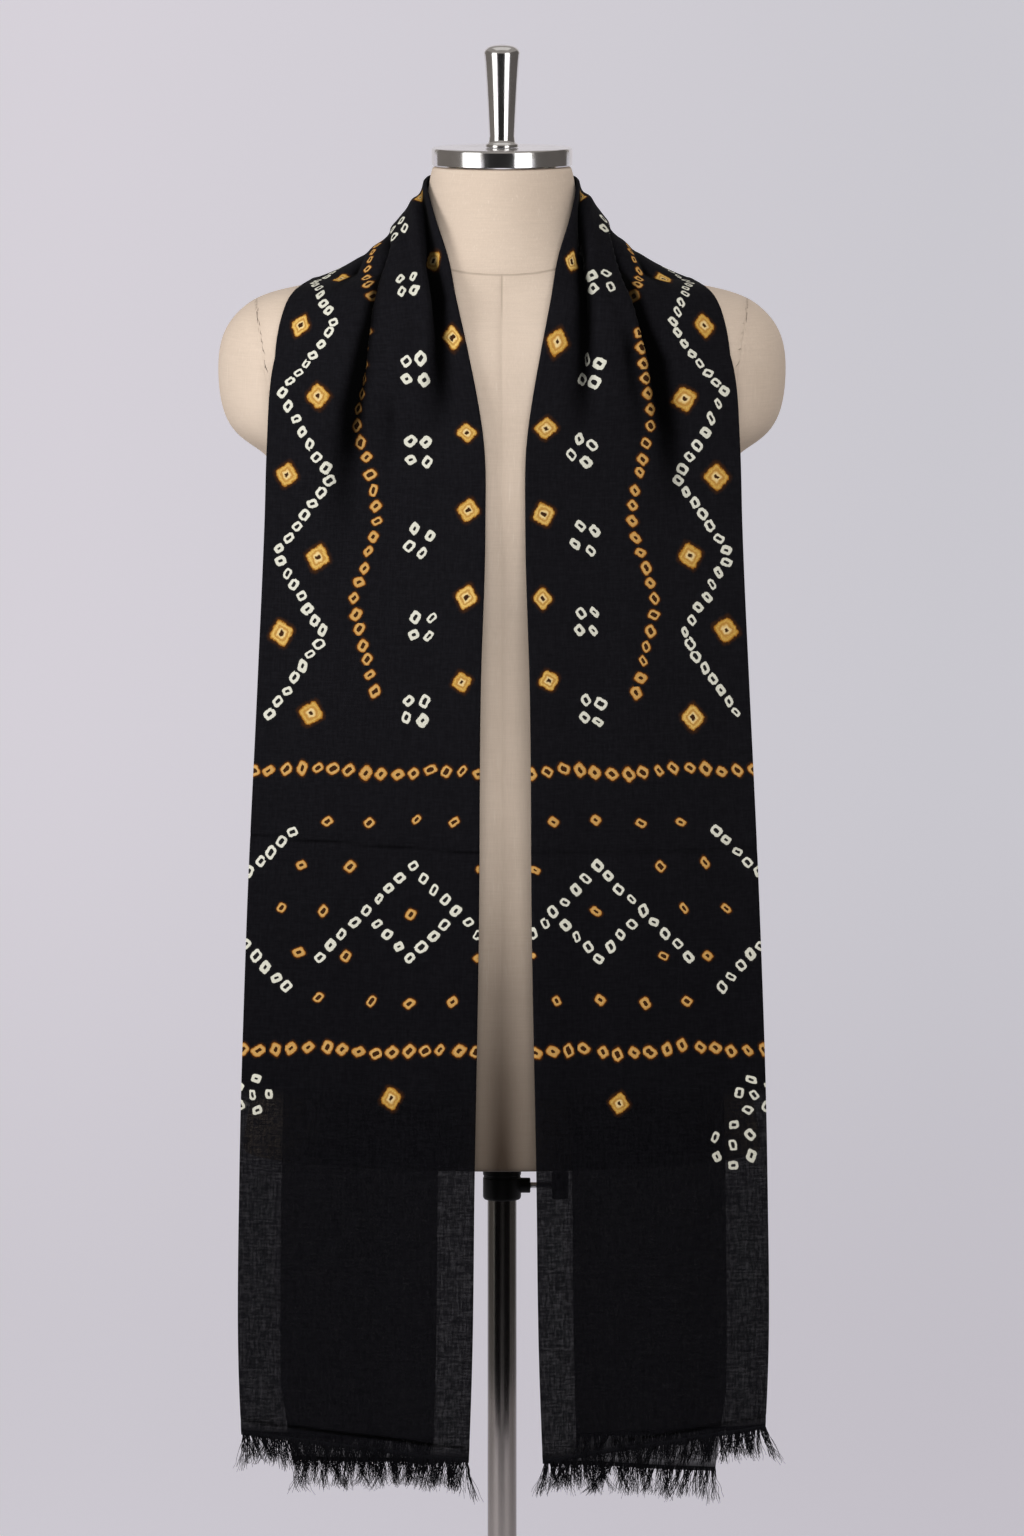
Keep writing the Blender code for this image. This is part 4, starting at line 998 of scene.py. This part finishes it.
fringe_pieces = []
for name, row, second_row, node in (("fringe_left_end", 0, 1, "fringe_left"),
                                    ("fringe_right_end", rows - 1, rows - 2, "fringe_right")):
    edge, inside_row = points[row], points[second_row]
    width = path[:, 4]
    starts = np.arange(THREAD_STEP / 2, width[-1], THREAD_STEP)
    locks = [0.0]
    while locks[-1] < width[-1]:
        locks.append(locks[-1] + LOCK * dice.uniform(0.5, 1.7))
    lock_lean = [Vector((dice.gauss(0, 0.16), dice.gauss(0, 0.10), 0)) for _ in locks]
    lock_curl = [Vector((dice.gauss(0, 0.30), dice.gauss(0, 0.20), 0)) for _ in locks]
    lock_length = [FRINGE_LENGTH * dice.uniform(0.82, 1.16) for _ in locks]
    verts, faces = [], []
    for start in starts:
        root, above = (Vector([np.interp(start, width, line[:, k]) for k in range(3)])
                       for line in (edge, inside_row))
        lock = int(np.searchsorted(locks, start)) - 1
        middle = (locks[lock] + locks[min(lock + 1, len(locks) - 1)]) / 2
        beside = min(start, width[-1] - start, abs(start - OUTER_FLAP),
                     abs(start - OUTER_FLAP - FOLDED_WIDTH))
        long = 1.0 + 0.35 * math.exp(-((beside / (5 * MM)) ** 2))
        length = lock_length[lock] * long * dice.uniform(0.88, 1.08)
        target = Vector([np.interp(middle, width, edge[:, k]) for k in range(3)])
        gather = (target - root) * dice.uniform(0.3, 0.9)
        down = (root - above).normalized() * 0.6 + Vector((0, 0, -0.6))
        lean = lock_lean[lock] + Vector((dice.gauss(0, 0.10), dice.gauss(0, 0.05), 0))
        base = len(verts)
        wander = Vector((0, 0, 0))
        for step in range(SEGMENTS + 1):
            t = step / SEGMENTS
            wander += Vector([dice.gauss(0, TANGLE * reach) for reach in (1.0, 0.35, 0.5)]) * min(1.0, t * 2)
            unbent = root - down.normalized() * 3.0 * MM + down.normalized() * (length + 3.0 * MM) * t
            curled = (lean * t + lock_curl[lock] * t * t * 0.6) * length
            spine = unbent + curled + gather * min(1.0, t * 1.8) + wander
            radius = THREAD_RADIUS * (1.4 - 0.75 * t)
            for turn in (0.0, math.tau / 3, math.tau * 2 / 3):
                verts.append(spine + Vector((math.cos(turn) * radius, math.sin(turn) * radius, 0)))
        for step in range(SEGMENTS):
            for k in range(3):
                a, b = base + step * 3 + k, base + step * 3 + (k + 1) % 3
                faces.append((a, a + 3, b + 3, b))
        faces.append((base, base + 1, base + 2))
        tip = base + SEGMENTS * 3
        faces.append((tip + 2, tip + 1, tip))
    mesh = bpy.data.meshes.new(name)
    mesh.from_pydata(verts, [], faces)
    mesh.shade_smooth()
    piece = bpy.data.objects.new(name, mesh)
    bpy.context.scene.collection.objects.link(piece)
    fringe_pieces.append((piece, node))

loose_yarn, shader, place = new_finish("loose_yarn", Roughness=0.9, Specular_IOR_Level=0.05)
fuzz = place.noise(1500.0, 2.0)
fuzz.tint((0.0035, 0.0035, 0.0045), (0.0095, 0.0095, 0.0120)).into(shader, "Base Color")
fuzz.bump(0.4, 0.05 * MM).into(shader, "Normal")
for piece, node in fringe_pieces:
    settle(piece, loose_yarn, "form", "fringe_yarn", node)

# ---------------------------------------------------------------------------------------------
# The studio: a wide pale floor that glows with painted light, brighter far off and to the left, a soft
# light on the left, a larger one high in front and a low one behind. Two tall panels, a dark card in
# front and four pale ones round the form and above it show only in polished steel.

FLOOR_RADIUS = 60.0
floor = open_new("studio_floor", bpy.ops.mesh.primitive_circle_add, vertices=128, radius=FLOOR_RADIUS)
bpy.ops.mesh.edge_face_add()
bpy.ops.object.mode_set(mode="OBJECT")
paper, shader, place = new_finish("studio_paper", Roughness=0.9, Specular_IOR_Level=0.05,
                                  Emission_Strength=1.0)
distance = place.node("ShaderNodeVectorMath", {"operation": "LENGTH"}, {0: place}, 1)
# The floor's glow and colour are painted light: brighter far away and on the left, darker near the form.
near = (1.0 / (distance + 8.0) - 0.018) / 0.076
aside = place.axis(0) / (distance + 8.0) * 12.9 + 0.5
glow_far = aside.tint((0.325, 0.322, 0.371), (0.247, 0.264, 0.305))
glow_near = aside.tint((0.216, 0.218, 0.261), (0.168, 0.170, 0.212))
near.tint((0.93, 0.905, 0.96), (0.83, 0.81, 0.865)).into(shader, "Base Color")
near.rise(0.45, 1.0).tint(glow_far, glow_near).into(shader, "Emission Color")
floor.data.materials.append(paper)
floor.visible_diffuse = False
floor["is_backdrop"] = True

world = bpy.data.worlds.new("studio")
bpy.context.scene.world = world
world.use_nodes = True
world.node_tree.nodes["Background"].inputs["Color"].default_value = (1.0, 0.93, 0.88, 1.0)
world.node_tree.nodes["Background"].inputs["Strength"].default_value = 0.33


def hang_light(name, kind, place, energy, aim=(0, 0, 1.2), **settings):
    """A light of its own name at its place, turned to what it lights."""
    light = bpy.data.lights.new(name, kind)
    light.energy = energy
    for setting, value in settings.items():
        setattr(light, setting, value)
    lamp = bpy.data.objects.new(name, light)
    lamp.location = place
    lamp.rotation_euler = (Vector(aim) - Vector(place)).to_track_quat("-Z", "Y").to_euler()
    lamp.visible_camera = False
    bpy.context.scene.collection.objects.link(lamp)
    return lamp


def hang_card(name, place, turned, width, height, colour, glow):
    """A card that shows only in polished steel."""
    card = open_new(name, bpy.ops.mesh.primitive_plane_add, size=1.0)
    bpy.ops.transform.resize(value=(width, height, 1))
    bpy.ops.object.mode_set(mode="OBJECT")
    card.location = place
    card.rotation_euler = turned
    paint, shader, spot = new_finish(name, Roughness=0.9, Emission_Strength=glow)
    dull = [value * 0.9 for value in colour]
    spot.noise(3.0).tint(dull, colour).into(shader, "Base Color")
    shader.inputs["Emission Color"].default_value = (*colour, 1.0)
    card.data.materials.append(paint)
    card.visible_camera = card.visible_diffuse = card.visible_shadow = card.visible_transmission = False
    card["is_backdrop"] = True


key = hang_light("key_light", "AREA", (-2.2, -1.0, 1.75), 32.5, shape="RECTANGLE", size=1.2, size_y=1.4)
front = hang_light("front_light", "AREA", (0.25, -2.3, 2.35), 39.5, shape="RECTANGLE", size=2.2, size_y=1.2)
back = hang_light("back_light", "SUN", (1.2, 2.6, 1.4), 1.2, angle=math.radians(45))
key.visible_glossy = front.visible_glossy = back.visible_glossy = False
for name, place, wide, energy in (("left_panel", (-1.79, -1.45, 1.45), 1.3, 16.0),
                                  ("right_panel", (1.32, -1.88, 1.45), 1.15, 14.0)):
    panel = hang_light(name, "AREA", place, energy, shape="RECTANGLE", size=wide, size_y=2.0,
                       aim=(0, 0, 1.45))
    panel.visible_diffuse = False
UPRIGHT = math.pi / 2
hang_card("dark_card", (-0.3, -3.0, 1.2), (UPRIGHT, 0, 0), 2.9, 2.4, (0.02, 0.02, 0.02), 0.0)
hang_card("pale_card", (0, 5.0, 2.2), (UPRIGHT, 0, 0), 7.0, 4.4, (0.47, 0.455, 0.48), 1.0)
hang_card("left_card", (-3.4, 0.6, 1.7), (UPRIGHT, 0, UPRIGHT), 5.0, 3.4, (0.115, 0.105, 0.097), 1.0)
hang_card("right_card", (3.4, 0.4, 1.7), (UPRIGHT, 0, UPRIGHT), 5.6, 3.4, (0.070, 0.064, 0.060), 1.0)
hang_card("top_card", (0, 0.6, 4.6), (0, 0, 0), 3.2, 3.2, (0.50, 0.49, 0.48), 1.0)

# ---------------------------------------------------------------------------------------------
# The camera stands about where the photo was taken from: eight metres away, a little above.

CAMERA_AIM = Vector((7.2 * MM, 0, 1.0555))
CAMERA_DISTANCE = 8.0
CAMERA_DOWN = math.radians(6.3)
camera_data = bpy.data.cameras.new("camera")
camera_data.lens = 260.4
camera_data.sensor_width = 36.0
camera_data.clip_end = 200.0
camera = bpy.data.objects.new("camera", camera_data)
camera.location = CAMERA_AIM + CAMERA_DISTANCE * Vector((0, -math.cos(CAMERA_DOWN), math.sin(CAMERA_DOWN)))
camera.rotation_euler = (math.pi / 2 - CAMERA_DOWN, 0, 0)
bpy.context.scene.collection.objects.link(camera)
bpy.context.scene.camera = camera
bpy.context.scene.view_settings.view_transform = "Standard"

low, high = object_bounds()
